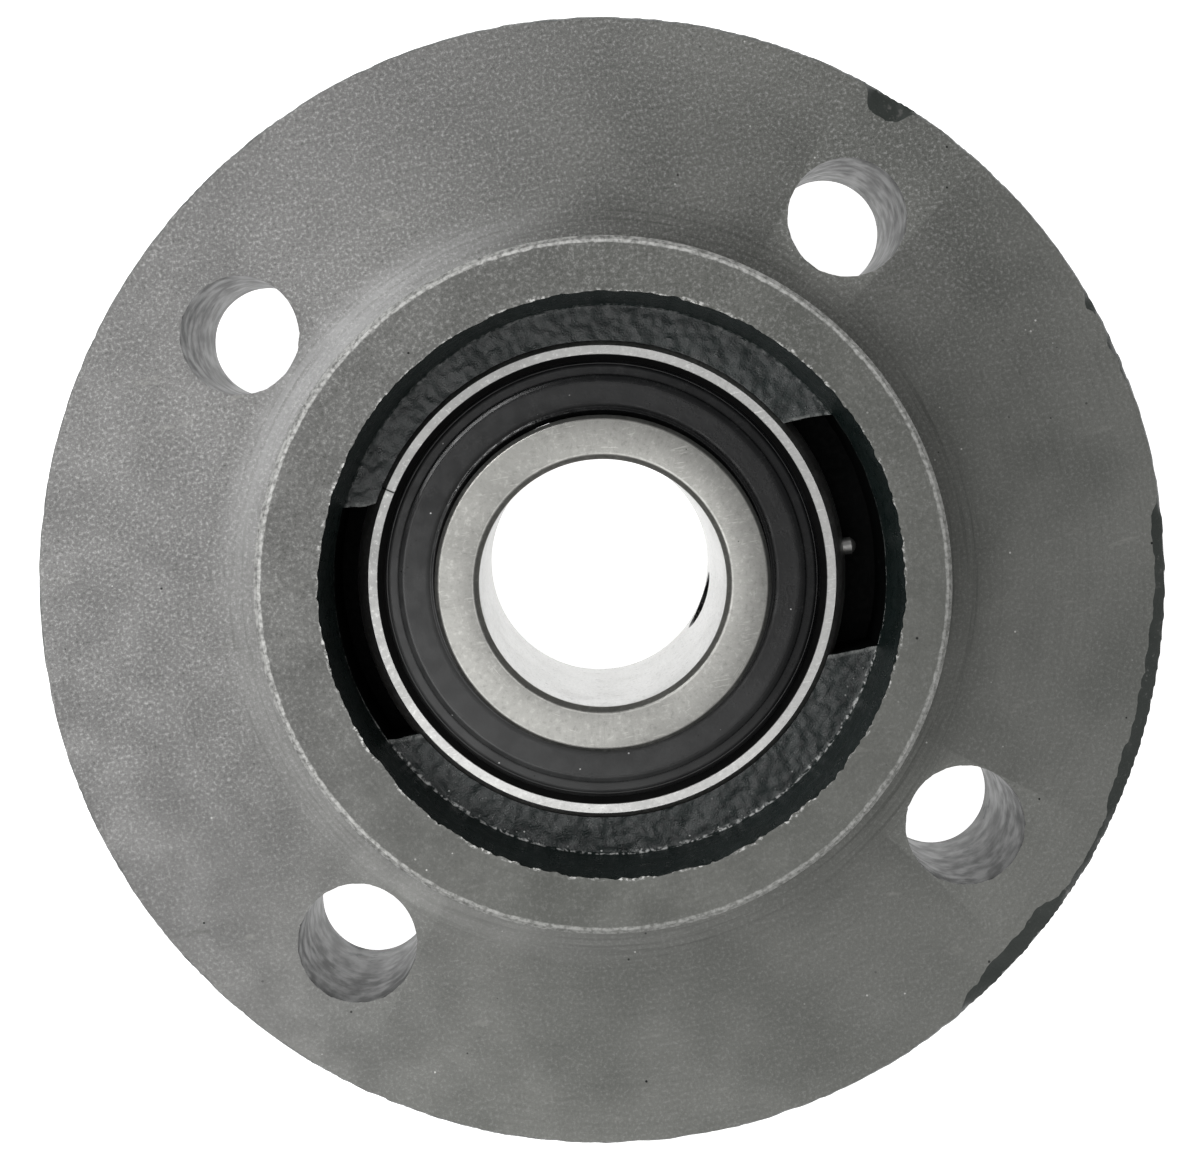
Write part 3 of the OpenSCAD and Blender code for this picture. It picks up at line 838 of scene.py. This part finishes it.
class Material:
    """A node material. Coordinates are the model's own, in mm, so a pattern keeps its real size."""

    def __init__(self, name):
        self.data = bpy.data.materials.new(name)
        self.data.use_nodes = True
        self.tree = self.data.node_tree
        self.tree.nodes.clear()
        self.shader = self.tree.nodes.new("ShaderNodeBsdfPrincipled")
        output = self.tree.nodes.new("ShaderNodeOutputMaterial")
        self.tree.links.new(self.shader.outputs["BSDF"], output.inputs["Surface"])
        place_node = self.tree.nodes.new("ShaderNodeTexCoord")
        self.mm = self.vector("SCALE", place_node.outputs["Object"], scale=1 / MM)
        split = self.add("ShaderNodeSeparateXYZ", {0: self.mm})
        self.x, self.y, self.z = split.outputs
        self.radius = self.math("POWER", self.math("ADD", self.square(self.x), self.square(self.y)), 0.5)
        self.angle = self.math("ARCTAN2", self.y, self.x)

    def add(self, kind, inputs, **settings):
        node = self.tree.nodes.new(kind)
        for key, value in settings.items():
            setattr(node, key, value)
        for key, value in inputs.items():
            self.feed(node.inputs[key], value)
        return node

    def feed(self, socket, value):
        if isinstance(value, bpy.types.NodeSocket):
            self.tree.links.new(value, socket)
        else:
            socket.default_value = value

    def math(self, operation, *values, clamp=False):
        inputs = dict(enumerate(values))
        return self.add("ShaderNodeMath", inputs, operation=operation, use_clamp=clamp).outputs[0]

    def square(self, value):
        return self.math("MULTIPLY", value, value)

    def vector(self, operation, *values, scale=None):
        inputs = dict(enumerate(values))
        if scale is not None:
            inputs["Scale"] = scale
        return self.add("ShaderNodeVectorMath", inputs, operation=operation).outputs[0]

    def along(self, degrees):
        """How far a point lies towards a direction of the view, in mm."""
        angle = seen_angle(degrees)
        across = self.math("MULTIPLY", self.y, math.sin(angle))
        return self.math("MULTIPLY_ADD", self.x, math.cos(angle), across)

    def gap(self, value, target):
        """How far value is from target, either way."""
        return self.math("ABSOLUTE", self.math("SUBTRACT", value, target))

    def hollow_radius(self):
        """Radius about the middle of the cast hollow."""
        x = self.math("SUBTRACT", self.x, CAVITY_OFFSET * math.cos(seen_angle(0)))
        y = self.math("SUBTRACT", self.y, CAVITY_OFFSET * math.sin(seen_angle(0)))
        return self.math("POWER", self.math("ADD", self.square(x), self.square(y)), 0.5)

    def stretched(self, *factors):
        """Coordinates for patterns drawn out along an axis."""
        return self.vector("MULTIPLY", self.mm, factors)

    def paint(self, amount, colour):
        """Lays a colour over the ones before it."""
        self.base = self.mix(amount, self.base, colour)

    def polar_place(self, around, outwards, up=1.0):
        """Coordinates for patterns that follow the turning: mm along the arc, outwards and up, each scaled."""
        arc_length = self.math("MULTIPLY", self.angle, around)
        out = self.math("MULTIPLY", self.radius, outwards)
        height = self.math("MULTIPLY", self.z, up)
        return self.add("ShaderNodeCombineXYZ", {0: arc_length, 1: out, 2: height}).outputs[0]

    def noise(self, wavelength, detail=3.0, roughness=0.55, where=None, distortion=0.0):
        """Noise around 0.5, with features about wavelength mm across."""
        return self.add("ShaderNodeTexNoise", {
            "Vector": where or self.mm, "Scale": 1 / wavelength, "Detail": detail,
            "Roughness": roughness, "Distortion": distortion}).outputs["Fac"]

    def specks(self, spacing, size, where=None, randomness=1.0):
        """1 at small round spots, spaced about spacing mm apart, 0 between them."""
        cells = self.add("ShaderNodeTexVoronoi", {
            "Vector": where or self.mm, "Scale": 1 / spacing, "Randomness": randomness})
        return self.range(cells.outputs["Distance"], size / spacing, size * 0.6 / spacing)

    def range(self, value, low, high, out_low=0.0, out_high=1.0):
        """value mapped smoothly from low..high to out_low..out_high, held at the ends."""
        return self.add("ShaderNodeMapRange", {
            "Value": value, "From Min": low, "From Max": high, "To Min": out_low, "To Max": out_high},
            interpolation_type="SMOOTHSTEP").outputs[0]

    def both(self, *masks):
        out = masks[0]
        for mask in masks[1:]:
            out = self.math("MULTIPLY", out, mask)
        return out

    def mix(self, amount, first, second):
        """A colour between first and second."""
        node = self.tree.nodes.new("ShaderNodeMix")
        node.data_type = "RGBA"
        self.feed(node.inputs["Factor"], amount)
        for socket, value in ((node.inputs["A"], first), (node.inputs["B"], second)):
            self.feed(socket, value if isinstance(value, bpy.types.NodeSocket) else (*value, 1.0))
        return node.outputs["Result"]

    def bump(self, height, depth, strength=1.0):
        """height, from 0 to 1, as a relief depth mm deep."""
        node = self.add("ShaderNodeBump", {"Strength": strength, "Distance": depth * MM, "Height": height})
        self.feed(self.shader.inputs["Normal"], node.outputs[0])

    def set(self, **values):
        """Gives the shader its base colour and other inputs, and returns the finished material."""
        self.feed(self.shader.inputs["Base Color"], self.base)
        for key, value in values.items():
            name = key.replace("_", " ")
            if isinstance(value, tuple):
                value = (*value, 1.0)
            self.feed(self.shader.inputs[name], value)
        return self.data


def machined_iron():
    """Bare turned grey iron, with graphite speckle, turning rings and scuffs; painted sheen towards the left and
    round the spigot foot, painted shade at the spigot foot, and painted highlights along the spigot chamfer and the
    burred cavity mouth.
    """
    m = Material("machined_iron")
    speckle = m.noise(0.36, 3.0, 0.75)
    fine = m.noise(0.15, 2.0, 0.6)
    cloud = m.noise(16.0, 3.0, 0.5)
    # The speckle gets more contrast towards the upper left. This is painted highlight where the light falls, on top
    # of real graphite speckle.
    speckle_lit_side = m.range(m.math("MULTIPLY_ADD", m.noise(18.0, 1.0), 40.0, m.along(125)), 0.0, 45.0, 0.35, 1.0)
    rings = m.noise(1.0, 2.0, 0.6, m.polar_place(2.0, 2.2, 1.0))
    smear = m.noise(1.0, 4.0, 0.65, m.stretched(0.16, 0.6, 0.3))
    foot = m.range(m.gap(m.radius, SPIGOT_R + 2.2), 3.0, 0.6)
    sheen = m.both(m.range(m.radius, 40.5, 37.0), m.range(m.z, 3.0, 1.0))
    high = m.range(m.z, 4.0, 5.0)
    m.base = m.mix(m.range(cloud, 0.35, 0.65), (0.172, 0.176, 0.164), (0.217, 0.220, 0.206))
    # Painted sheen: the iron is lighter towards the left.
    m.paint(m.range(m.along(165), -10.0, 45.0, 0.0, 0.7), (0.208, 0.204, 0.206))
    m.paint(m.both(m.range(speckle, 0.47, 0.74), speckle_lit_side), (0.44, 0.44, 0.43))
    m.paint(m.both(m.range(speckle, 0.46, 0.28), m.range(fine, 0.35, 0.6), speckle_lit_side), (0.085, 0.087, 0.080))
    # Turning rings are real marks. Near the spigot foot they are darkened further as painted shade.
    ring_marks_and_foot_shade = m.math("MULTIPLY_ADD", foot, 0.40, 0.12)
    m.paint(m.both(m.range(rings, 0.45, 0.75), ring_marks_and_foot_shade), (0.085, 0.087, 0.080))
    # Painted shade at the spigot foot, towards the upper right.
    m.paint(m.both(foot, m.range(m.along(35), -12.0, 25.0, 0.0, 0.14)), (0.10, 0.102, 0.095))
    m.paint(m.both(m.range(smear, 0.60, 0.72), m.range(cloud, 0.5, 0.6), 0.5), (0.33, 0.33, 0.31))
    m.paint(m.both(m.range(smear, 0.40, 0.30), m.range(cloud, 0.48, 0.4), 0.4), (0.12, 0.122, 0.112))
    # Painted sheen: a lighter band round the spigot foot, strongest towards the upper left and weaker towards the
    # lower left.
    bright = m.both(sheen, m.range(m.along(140), 24.0, 38.0), m.range(rings, 0.30, 0.62, 0.3, 1.0), 0.55)
    m.paint(bright, (0.48, 0.48, 0.48))
    m.paint(m.both(sheen, m.range(m.along(225), 5.0, 36.0), 0.25), (0.42, 0.42, 0.41))
    m.paint(m.math("MULTIPLY", high, 0.30), (0.10, 0.102, 0.092))
    pits = m.both(m.specks(3.1, 0.17), m.range(m.noise(9.0), 0.48, 0.56))
    m.paint(pits, (0.02, 0.02, 0.02))
    sparks = m.both(m.specks(2.3, 0.13), m.range(m.noise(7.0), 0.50, 0.60))
    m.paint(sparks, (0.6, 0.6, 0.58))
    # Painted highlight along the spigot chamfer, strongest towards the upper left, and on the real burrs at the
    # cavity mouth.
    chamfer = m.range(m.math("MULTIPLY_ADD", m.noise(0.9, 3.0), 0.35, m.radius), SPIGOT_R - 0.62, SPIGOT_R - 0.44)
    chamfer = m.both(chamfer, m.range(m.z, 5.2, 5.5), m.range(m.noise(0.5, 3.0), 0.30, 0.65, 0.15, 0.8))
    chamfer = m.both(chamfer, m.range(m.along(140), -30.0, 20.0, 0.55, 1.0))
    near_mouth = m.range(m.math("MULTIPLY_ADD", m.noise(1.6, 3.0), -0.9, m.hollow_radius()), 29.25, 28.95)
    burrs_and_highlight = m.both(
        near_mouth, m.range(m.z, 5.6, 5.9), m.range(m.noise(0.5, 4.0, 0.7), 0.47, 0.60),
        m.range(m.noise(2.6, 2.0), 0.40, 0.52, 0.1, 1.0))
    m.paint(m.math("MAXIMUM", chamfer, burrs_and_highlight), (0.72, 0.72, 0.70))
    height = m.math("MULTIPLY_ADD", speckle, 0.7, m.math("MULTIPLY", rings, m.math("MULTIPLY_ADD", foot, 0.5, 0.2)))
    m.bump(height, 0.035, 0.8)
    roughness = m.math("ADD", m.range(m.noise(5.0), 0.3, 0.7, 0.44, 0.54), m.math("MULTIPLY", high, 0.06))
    return m.set(Metallic=0.9, Roughness=roughness)


def drilled_iron():
    """Drilled wall of a bolt hole: dark, with feed marks, soot and smears of paint, and painted light making it
    lighter towards its front end.
    """
    m = Material("drilled_iron")
    feed = m.noise(1.0, 2.0, 0.6, m.stretched(0.25, 0.25, 2.6))
    streak = m.noise(1.0, 3.0, 0.6, m.stretched(1.3, 1.3, 0.18))
    m.base = m.mix(m.range(streak, 0.2, 0.8), (0.034, 0.036, 0.035), (0.048, 0.050, 0.049))
    # Painted light: the wall grows lighter towards the front end, where light comes in from below.
    m.paint(m.range(m.z, -7.0, -20.0, 0.0, 0.6), (0.15, 0.152, 0.15))
    m.paint(m.both(m.range(m.noise(1.8, 4.0), 0.55, 0.66), m.range(m.noise(6.0), 0.45, 0.6)), (0.02, 0.024, 0.023))
    m.paint(m.range(m.noise(0.3), 0.64, 0.78), (0.10, 0.10, 0.095))
    m.bump(m.math("ADD", feed, m.noise(0.4)), 0.008, 0.8)
    lip = m.both(m.range(m.z, -0.55, -0.15), m.range(m.noise(0.8, 3.0), 0.44, 0.56))
    m.paint(lip, (0.012, 0.012, 0.012))
    return m.set(Metallic=0.7, Roughness=m.range(m.noise(2.0), 0.3, 0.7, 0.34, 0.5))


def cavity_paint():
    """Dark green-black enamel over a rough cast hollow, dusty on its floor, with a painted highlight along its corner
    and painted glints on its floor, both stronger towards the bottom.
    """
    m = Material("cavity_paint")
    up = m.add("ShaderNodeSeparateXYZ", {0: m.add("ShaderNodeNewGeometry", {}).outputs["Normal"]}).outputs[2]
    floor = m.range(up, 0.45, 0.8)
    grain = m.noise(0.5, 4.0, 0.65)
    m.base = m.mix(m.range(m.noise(3.0), 0.35, 0.65), (0.0085, 0.0150, 0.0140), (0.012, 0.0200, 0.0190))
    m.paint(m.both(floor, m.range(grain, 0.42, 0.75, 0.1, 1.0)), (0.019, 0.020, 0.021))
    low = m.math("MULTIPLY", m.y, -1.0)
    # Painted highlight along the corner of floor and wall, stronger towards the bottom.
    corner = m.range(m.math("ABSOLUTE", m.math("ADD", m.z, -CAVITY_FLOOR_Z - 0.18)), 0.20, 0.08)
    wall_r = m.hollow_radius()
    corner = m.both(corner, m.range(wall_r, 28.05, 28.3), m.range(m.noise(0.45, 3.0), 0.44, 0.60))
    lit = m.range(low, -8.0, 8.0, 0.18, 1.0)
    m.paint(m.both(corner, lit), (0.60, 0.61, 0.60))
    # Painted glints: light specks on the floor, more towards the bottom and the outer edge.
    dust_and_glints = m.both(
        m.specks(0.8, 0.12), m.range(m.noise(2.4), 0.50, 0.60), m.range(low, 2.0, 16.0, 0.1, 1.0),
        m.range(wall_r, 26.6, 27.8, 0.15, 1.0))
    m.paint(m.both(dust_and_glints, floor), (0.55, 0.56, 0.55))
    edge = m.range(m.math("ABSOLUTE", m.y), 11.55, 12.0)
    edge = m.both(
        edge, m.range(m.math("ABSOLUTE", m.y), 12.75, 12.4), m.range(m.noise(0.8), 0.4, 0.55, 0.2, 1.0), floor)
    m.paint(m.math("MULTIPLY", edge, 0.5), (0.30, 0.31, 0.30))
    m.bump(m.math("MULTIPLY_ADD", grain, 1.0, m.noise(0.2)), 0.11, 0.8)
    roughness = m.range(m.noise(1.2), 0.3, 0.7, 0.24, 0.46)
    return m.set(Roughness=roughness, Coat_Weight=0.2, Coat_Roughness=0.25)


def painted_slot_shade():
    """Near-black painted shade in the deep loading slots, with a few grey flecks."""
    m = Material("painted_slot_shade")
    grain = m.noise(0.7, 4.0)
    m.base = m.mix(m.range(grain, 0.35, 0.7), (0.0006, 0.0008, 0.0008), (0.0016, 0.0020, 0.0020))
    flecks = m.both(m.specks(1.4, 0.12), m.range(m.noise(1.7), 0.56, 0.62))
    m.paint(flecks, (0.12, 0.12, 0.12))
    m.bump(grain, 0.05, 0.5)
    return m.set(Roughness=m.range(grain, 0.3, 0.7, 0.6, 0.8), Specular_IOR_Level=0.08)


def cast_paint():
    """The same enamel over the cast outside, thin and rubbed through in places."""
    m = Material("cast_paint")
    grain = m.noise(0.9, 4.0, 0.6)
    m.base = m.mix(m.range(m.noise(6.0, 3.0), 0.35, 0.65), (0.024, 0.030, 0.026), (0.032, 0.038, 0.034))
    worn = m.both(m.range(m.noise(2.2, 4.0, 0.6), 0.62, 0.68), m.range(m.noise(11.0), 0.45, 0.6))
    m.paint(worn, (0.10, 0.10, 0.095))
    dust_and_glints = m.both(m.range(m.noise(0.35), 0.60, 0.72), m.range(m.noise(7.0), 0.4, 0.6))
    m.paint(m.math("MULTIPLY", dust_and_glints, 0.3), (0.25, 0.25, 0.24))
    m.bump(m.math("ADD", grain, m.noise(0.3)), 0.06, 0.7)
    roughness = m.range(m.noise(2.5), 0.3, 0.7, 0.42, 0.6)
    return m.set(Roughness=roughness, Coat_Weight=0.15, Coat_Roughness=0.3)


def ground_steel(name, colour, painted_shade, seat_r=None, tick=None):
    """Ground bearing steel: fine grinding on the faces, long scratches and faint handling marks; painted highlights
    at the inner ring's edges, painted shade towards the upper left, and a near-black painted shade in the seal seat
    when seat_r is given.
    """
    m = Material(name)
    grind = m.noise(1.0, 3.0, 0.7, m.polar_place(42.0, 0.35, 0.5))
    cross = m.noise(1.0, 2.0, 0.6, m.stretched(0.5, 5.0, 2.0))
    slant = m.noise(1.0, 2.0, 0.6, m.polar_place(4.0, 6.0, 1.0), distortion=0.8)
    stain = m.noise(4.5, 3.0, 0.5)
    dark = tuple(c * 0.90 for c in colour)
    light = tuple(min(1, c * 1.5) for c in colour)
    # Painted highlight along the inner ring's chamfer edges.
    rim_highlight = m.range(m.gap(m.radius, BORE_R + 0.62), 0.13, 0.05)
    rim_highlight = m.math("MAXIMUM", rim_highlight, m.range(m.gap(m.radius, INNER_R - 0.45), 0.12, 0.05))
    m.base = m.mix(m.range(grind, 0.3, 0.7), dark, colour)
    m.paint(m.both(rim_highlight, m.range(m.noise(2.5), 0.3, 0.6, 0.2, 0.8)), light)
    m.paint(m.range(m.radius, BORE_R + 0.03, BORE_R + 0.01), (0.62, 0.62, 0.61))
    m.paint(m.both(m.range(cross, 0.60, 0.70), m.range(stain, 0.48, 0.6), 0.8), light)
    m.paint(m.both(m.range(slant, 0.66, 0.73), m.range(stain, 0.55, 0.45), 0.7), light)
    # Painted shade: the steel is darker towards the upper left.
    m.paint(m.range(m.along(155), 4.0, 23.0, 0.0, painted_shade), tuple(c * 0.45 for c in colour))
    mottle = m.noise(0.5, 4.0, 0.7)
    m.paint(m.math("MULTIPLY", m.range(mottle, 0.52, 0.70), 0.45), light)
    m.paint(m.math("MULTIPLY", m.range(mottle, 0.46, 0.32), 0.5), tuple(c * 0.6 for c in colour))
    spot = m.both(m.specks(1.7, 0.09), m.range(m.noise(3.0), 0.52, 0.6))
    m.paint(spot, (0.08, 0.08, 0.075))
    metal = 0.95
    if seat_r:
        below = m.math("SUBTRACT", abs(BALL_Z + OUTER_FACE) * -1 - 0.03, m.z)
        # Painted shade: the seal seat inside the outer ring's mouth is painted near black and made non-metallic.
        scale = m.both(m.range(m.radius, seat_r + 0.03, seat_r - 0.03), m.range(below, 0.0, 0.05))
        m.paint(scale, (0.004, 0.004, 0.004))
        metal = m.range(scale, 0.0, 1.0, 0.95, 0.0)
    if tick is not None:
        near = m.gap(m.angle, tick)
        mark = m.both(m.range(near, 0.0045, 0.0025), m.range(m.radius, 23.2, 23.4), m.range(m.z, -2.2, -1.9))
        m.paint(mark, (0.02, 0.02, 0.02))
    m.bump(m.math("ADD", grind, cross), 0.005, 0.6)
    roughness = m.math("ADD", m.range(grind, 0.3, 0.7, 0.30, 0.38), m.range(stain, 0.4, 0.7, 0.0, 0.06))
    return m.set(Metallic=metal, Roughness=roughness)


def polished_steel():
    m = Material("polished_steel")
    haze = m.noise(1.5, 3.0)
    m.base = m.mix(m.range(haze, 0.3, 0.7), (0.62, 0.62, 0.63), (0.72, 0.72, 0.73))
    m.bump(m.noise(0.4, 2.0), 0.002, 0.5)
    return m.set(Metallic=1.0, Roughness=m.range(haze, 0.3, 0.7, 0.05, 0.12))


def pressed_steel():
    m = Material("pressed_steel")
    draw = m.noise(1.0, 3.0, 0.6, m.stretched(1.2, 1.2, 5.0))
    m.base = m.mix(m.range(draw, 0.3, 0.7), (0.36, 0.36, 0.35), (0.48, 0.48, 0.47))
    m.paint(m.range(m.noise(1.4, 4.0), 0.58, 0.7), (0.26, 0.24, 0.20))
    m.bump(draw, 0.01, 0.7)
    return m.set(Metallic=0.9, Roughness=m.range(m.noise(0.8), 0.3, 0.7, 0.32, 0.48))


def seal_rubber():
    """Moulded black rubber with dust, lint and faint flow marks, and a painted sheen towards the lower left."""
    m = Material("seal_rubber")
    flow = m.noise(1.0, 3.0, 0.6, m.polar_place(3.0, 0.9, 1.0))
    m.base = m.mix(m.range(flow, 0.3, 0.7), (0.0065, 0.0068, 0.0074), (0.011, 0.0114, 0.012))
    film = m.both(m.range(m.noise(2.4, 4.0, 0.6), 0.48, 0.72), m.range(m.noise(0.25), 0.4, 0.7))
    m.paint(m.math("MULTIPLY", film, 0.25), (0.09, 0.09, 0.09))
    # Painted sheen: the rubber is lighter towards the lower left.
    lower_left_sheen = m.range(m.along(245), -4.0, 21.0)
    m.paint(m.both(lower_left_sheen, m.range(m.noise(3.0, 3.0), 0.2, 0.7, 0.6, 1.0)), (0.055, 0.056, 0.056))
    clean = m.range(m.along(15), -6.0, 20.0)
    dust_and_glints = m.both(m.specks(1.6, 0.11), m.range(m.noise(2.6), 0.52, 0.60))
    m.paint(dust_and_glints, (0.75, 0.75, 0.74))
    pits = m.both(m.specks(1.1, 0.12, m.vector("ADD", m.mm, (5.3, 2.1, 0.7))), m.range(m.noise(3.1), 0.48, 0.58))
    m.paint(pits, (0.002, 0.002, 0.002))
    step = m.range(m.gap(m.radius, 20.85), 0.40, 0.30)
    lip = m.range(m.radius, LIP_R + 0.9, LIP_R + 0.7)
    shine = m.math("MAXIMUM", step, lip)
    matt = m.math("MULTIPLY_ADD", shine, -0.85, 1.0)
    m.bump(m.both(m.math("ADD", m.noise(0.3, 3.0), flow), matt), 0.012, 0.8)
    roughness = m.math("SUBTRACT", m.range(m.noise(1.5), 0.3, 0.7, 0.36, 0.48), m.math("MULTIPLY", shine, 0.20))
    roughness = m.math("SUBTRACT", roughness, m.both(clean, m.math("SUBTRACT", 1.0, shine), 0.14))
    return m.set(Roughness=roughness, Specular_IOR_Level=0.38)


def seal_steel():
    m = Material("seal_steel")
    roll = m.noise(1.0, 3.0, 0.6, m.polar_place(6.0, 5.0, 1.0))
    m.base = m.mix(m.range(roll, 0.3, 0.7), (0.25, 0.26, 0.25), (0.36, 0.36, 0.36))
    m.bump(roll, 0.008, 0.6)
    return m.set(Metallic=0.9, Roughness=m.range(m.noise(0.9), 0.3, 0.7, 0.35, 0.5))


def black_oxide():
    m = Material("black_oxide")
    wear = m.both(m.range(m.noise(0.5, 4.0), 0.56, 0.68), m.range(m.noise(2.0), 0.4, 0.6))
    m.base = m.mix(m.range(m.noise(1.0, 3.0), 0.3, 0.7), (0.020, 0.020, 0.022), (0.038, 0.037, 0.040))
    m.paint(wear, (0.20, 0.19, 0.18))
    m.bump(m.noise(0.18, 3.0), 0.008, 0.7)
    return m.set(Metallic=0.7, Roughness=m.range(m.noise(0.7), 0.3, 0.7, 0.3, 0.45))


def zinc_plate():
    m = Material("zinc_plate")
    tone = m.noise(1.6, 4.0, 0.6)
    m.base = m.mix(m.range(tone, 0.35, 0.65), (0.62, 0.50, 0.25), (0.70, 0.62, 0.42))
    m.paint(m.range(m.noise(0.6, 4.0), 0.62, 0.75), (0.40, 0.38, 0.33))
    m.bump(m.noise(0.25, 3.0), 0.006, 0.7)
    return m.set(Metallic=0.95, Roughness=m.range(tone, 0.3, 0.7, 0.22, 0.38))


def spring_wire():
    m = Material("spring_wire")
    draw = m.noise(0.3, 3.0)
    m.base = m.mix(m.range(draw, 0.3, 0.7), (0.40, 0.40, 0.40), (0.52, 0.52, 0.52))
    m.bump(draw, 0.003, 0.6)
    return m.set(Metallic=1.0, Roughness=m.range(draw, 0.3, 0.7, 0.2, 0.35))


# ---------------------------------------------------------------- assembly

BODY_OF = {
    node: body for body, nodes in frame["record"]["behaviour"]["bodies"].items() for node in nodes}


def install(obj, node, material=None, angle=35):
    """Puts a finished piece in the place of its CAD node, on the same body."""
    if material:
        give(obj, material)
        finish_surface(obj, angle)
    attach(obj, BODY_OF[node])
    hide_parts(node)
    return obj


def build_insert():
    outer_steel = ground_steel("outer_ring_steel", (0.50, 0.50, 0.49), 0.75, seat_r=23.3, tick=seen_angle(157.5))
    inner_steel = ground_steel("inner_ring_steel", (0.315, 0.313, 0.296), 0.3)
    pressed, polished, rubber, core = pressed_steel(), polished_steel(), seal_rubber(), seal_steel()
    oxide = black_oxide()
    install(build_outer_ring(), "outer_ring", outer_steel)
    install(build_pin(), "anti_rotation_pin", pressed)
    inner_ring = build_inner_ring()
    give(inner_ring, inner_steel, oxide)
    tapped_faces(inner_ring.data)
    install(finish_surface(inner_ring, 35), "inner_ring")
    for side, flip in (("back", False), ("front", True)):
        install(build_seal_rubber(f"seal_{side}_rubber", flip), f"seal_rubber_{side}", rubber, 60)
        install(build_seal_core(f"seal_{side}_core", flip), f"seal_core_{side}", core)
        install(build_cage(f"cage_{side}_half", flip), f"cage_{side}", pressed)
    install(build_rivets(), "cage_rivets", pressed)
    for number in range(1, BALL_COUNT + 1):
        install(build_ball(f"ball_{number}", BALL_R, 5), f"ball_{number}", polished, 180)
    for node in ("set_screw_1", "set_screw_2"):
        install(build_set_screw(node), node, oxide)


def build_greasing():
    polished = bpy.data.materials["polished_steel"]
    install(build_nipple(), "grease_nipple", zinc_plate())
    low, high = box_mm("nipple_check_ball")
    install(build_ball("nipple_check_ball", (high.x - low.x) / 2, 4), "nipple_check_ball", polished, 180)
    spring = install(build_spring(), "nipple_spring", spring_wire(), 60)
    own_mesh(spring)


# ---------------------------------------------------------------- stage, light and camera

def floor_material():
    """White paper that stays white in the holes. Its underside lets the view from below through."""
    material = bpy.data.materials.new("white_floor")
    material.use_nodes = True
    tree = material.node_tree
    tree.nodes.clear()
    paper = tree.nodes.new("ShaderNodeBsdfPrincipled")
    paper.inputs["Base Color"].default_value = (0.95, 0.95, 0.95, 1)
    paper.inputs["Roughness"].default_value = 0.9
    paper.inputs["Emission Color"].default_value = (1, 1, 1, 1)
    paper.inputs["Emission Strength"].default_value = 0.95
    clear = tree.nodes.new("ShaderNodeBsdfTransparent")
    side = tree.nodes.new("ShaderNodeNewGeometry")
    join = tree.nodes.new("ShaderNodeMixShader")
    output = tree.nodes.new("ShaderNodeOutputMaterial")
    tree.links.new(side.outputs["Backfacing"], join.inputs[0])
    tree.links.new(paper.outputs[0], join.inputs[1])
    tree.links.new(clear.outputs[0], join.inputs[2])
    tree.links.new(join.outputs[0], output.inputs["Surface"])
    return material


def build_stage():
    half = 1.5
    height = cad_low.z
    mesh = bpy.data.meshes.new("floor")
    mesh.from_pydata(
        [(-half, -half, height), (half, -half, height), (half, half, height), (-half, half, height)],
        [], [(0, 1, 2, 3)])
    floor = link("floor", mesh)
    mesh.materials.append(floor_material())


def soft_light(name, place_mm, wide_mm, tall_mm, power):
    """A soft light aimed at the middle of the mounting face."""
    data = bpy.data.lights.new(name, "AREA")
    data.shape, data.size, data.size_y, data.energy = "RECTANGLE", wide_mm * MM, tall_mm * MM, power
    light = bpy.data.objects.new(name, data)
    light.location = Vector(place_mm) * MM
    light.rotation_euler = (-light.location).to_track_quat("-Z", "Y").to_euler()
    bpy.context.scene.collection.objects.link(light)


def seen_place(right, up, above):
    """A place given along the view's right and up, and above the mounting face, in mm."""
    c, s = math.cos(VIEW_ROLL), math.sin(VIEW_ROLL)
    return (right * c + up * s, -right * s + up * c, above)


def build_light():
    world = bpy.data.worlds.new("studio")
    world.use_nodes = True
    background = world.node_tree.nodes["Background"]
    background.inputs["Color"].default_value = (1, 1, 1, 1)
    tree = world.node_tree
    place_node = tree.nodes.new("ShaderNodeTexCoord")
    toward = tree.nodes.new("ShaderNodeVectorMath")
    toward.operation = "DOT_PRODUCT"
    toward.inputs[1].default_value = Vector(seen_place(-0.45, -0.9, 0)).normalized()
    tree.links.new(place_node.outputs["Generated"], toward.inputs[0])
    falloff = tree.nodes.new("ShaderNodeMapRange")
    for name, value in (("From Min", -0.5), ("From Max", 0.5), ("To Min", 0.20), ("To Max", 0.58)):
        falloff.inputs[name].default_value = value
    tree.links.new(toward.outputs["Value"], falloff.inputs["Value"])
    tree.links.new(falloff.outputs[0], background.inputs["Strength"])
    bpy.context.scene.world = world
    soft_light("key", seen_place(-150, -110, 650), 400, 400, 1.1)
    soft_light("window", seen_place(-330, 290, 430), 400, 70, 1.25)


def build_camera():
    """Square above the mounting face and a little off its middle, as the unit was photographed."""
    above, across, sensor = 223.0, 123.3, 36.0
    aside, up = -2.6, 17.0
    spot = Vector(seen_place(aside, up, above))
    data = bpy.data.cameras.new("camera")
    data.sensor_width, data.lens = sensor, sensor * above / across
    data.shift_x, data.shift_y = (-aside - 0.25) / across, (-up - 0.70) / across
    data.clip_start, data.clip_end = 0.01, 10
    camera = bpy.data.objects.new("camera", data)
    camera.matrix_world = Matrix.Translation(spot * MM) @ Matrix.Rotation(-VIEW_ROLL, 4, "Z")
    bpy.context.scene.collection.objects.link(camera)
    bpy.context.scene.camera = camera


install(build_housing(), "housing")
build_insert()
build_greasing()
build_stage()
build_light()
build_camera()
bpy.context.scene.view_settings.view_transform = "Standard"
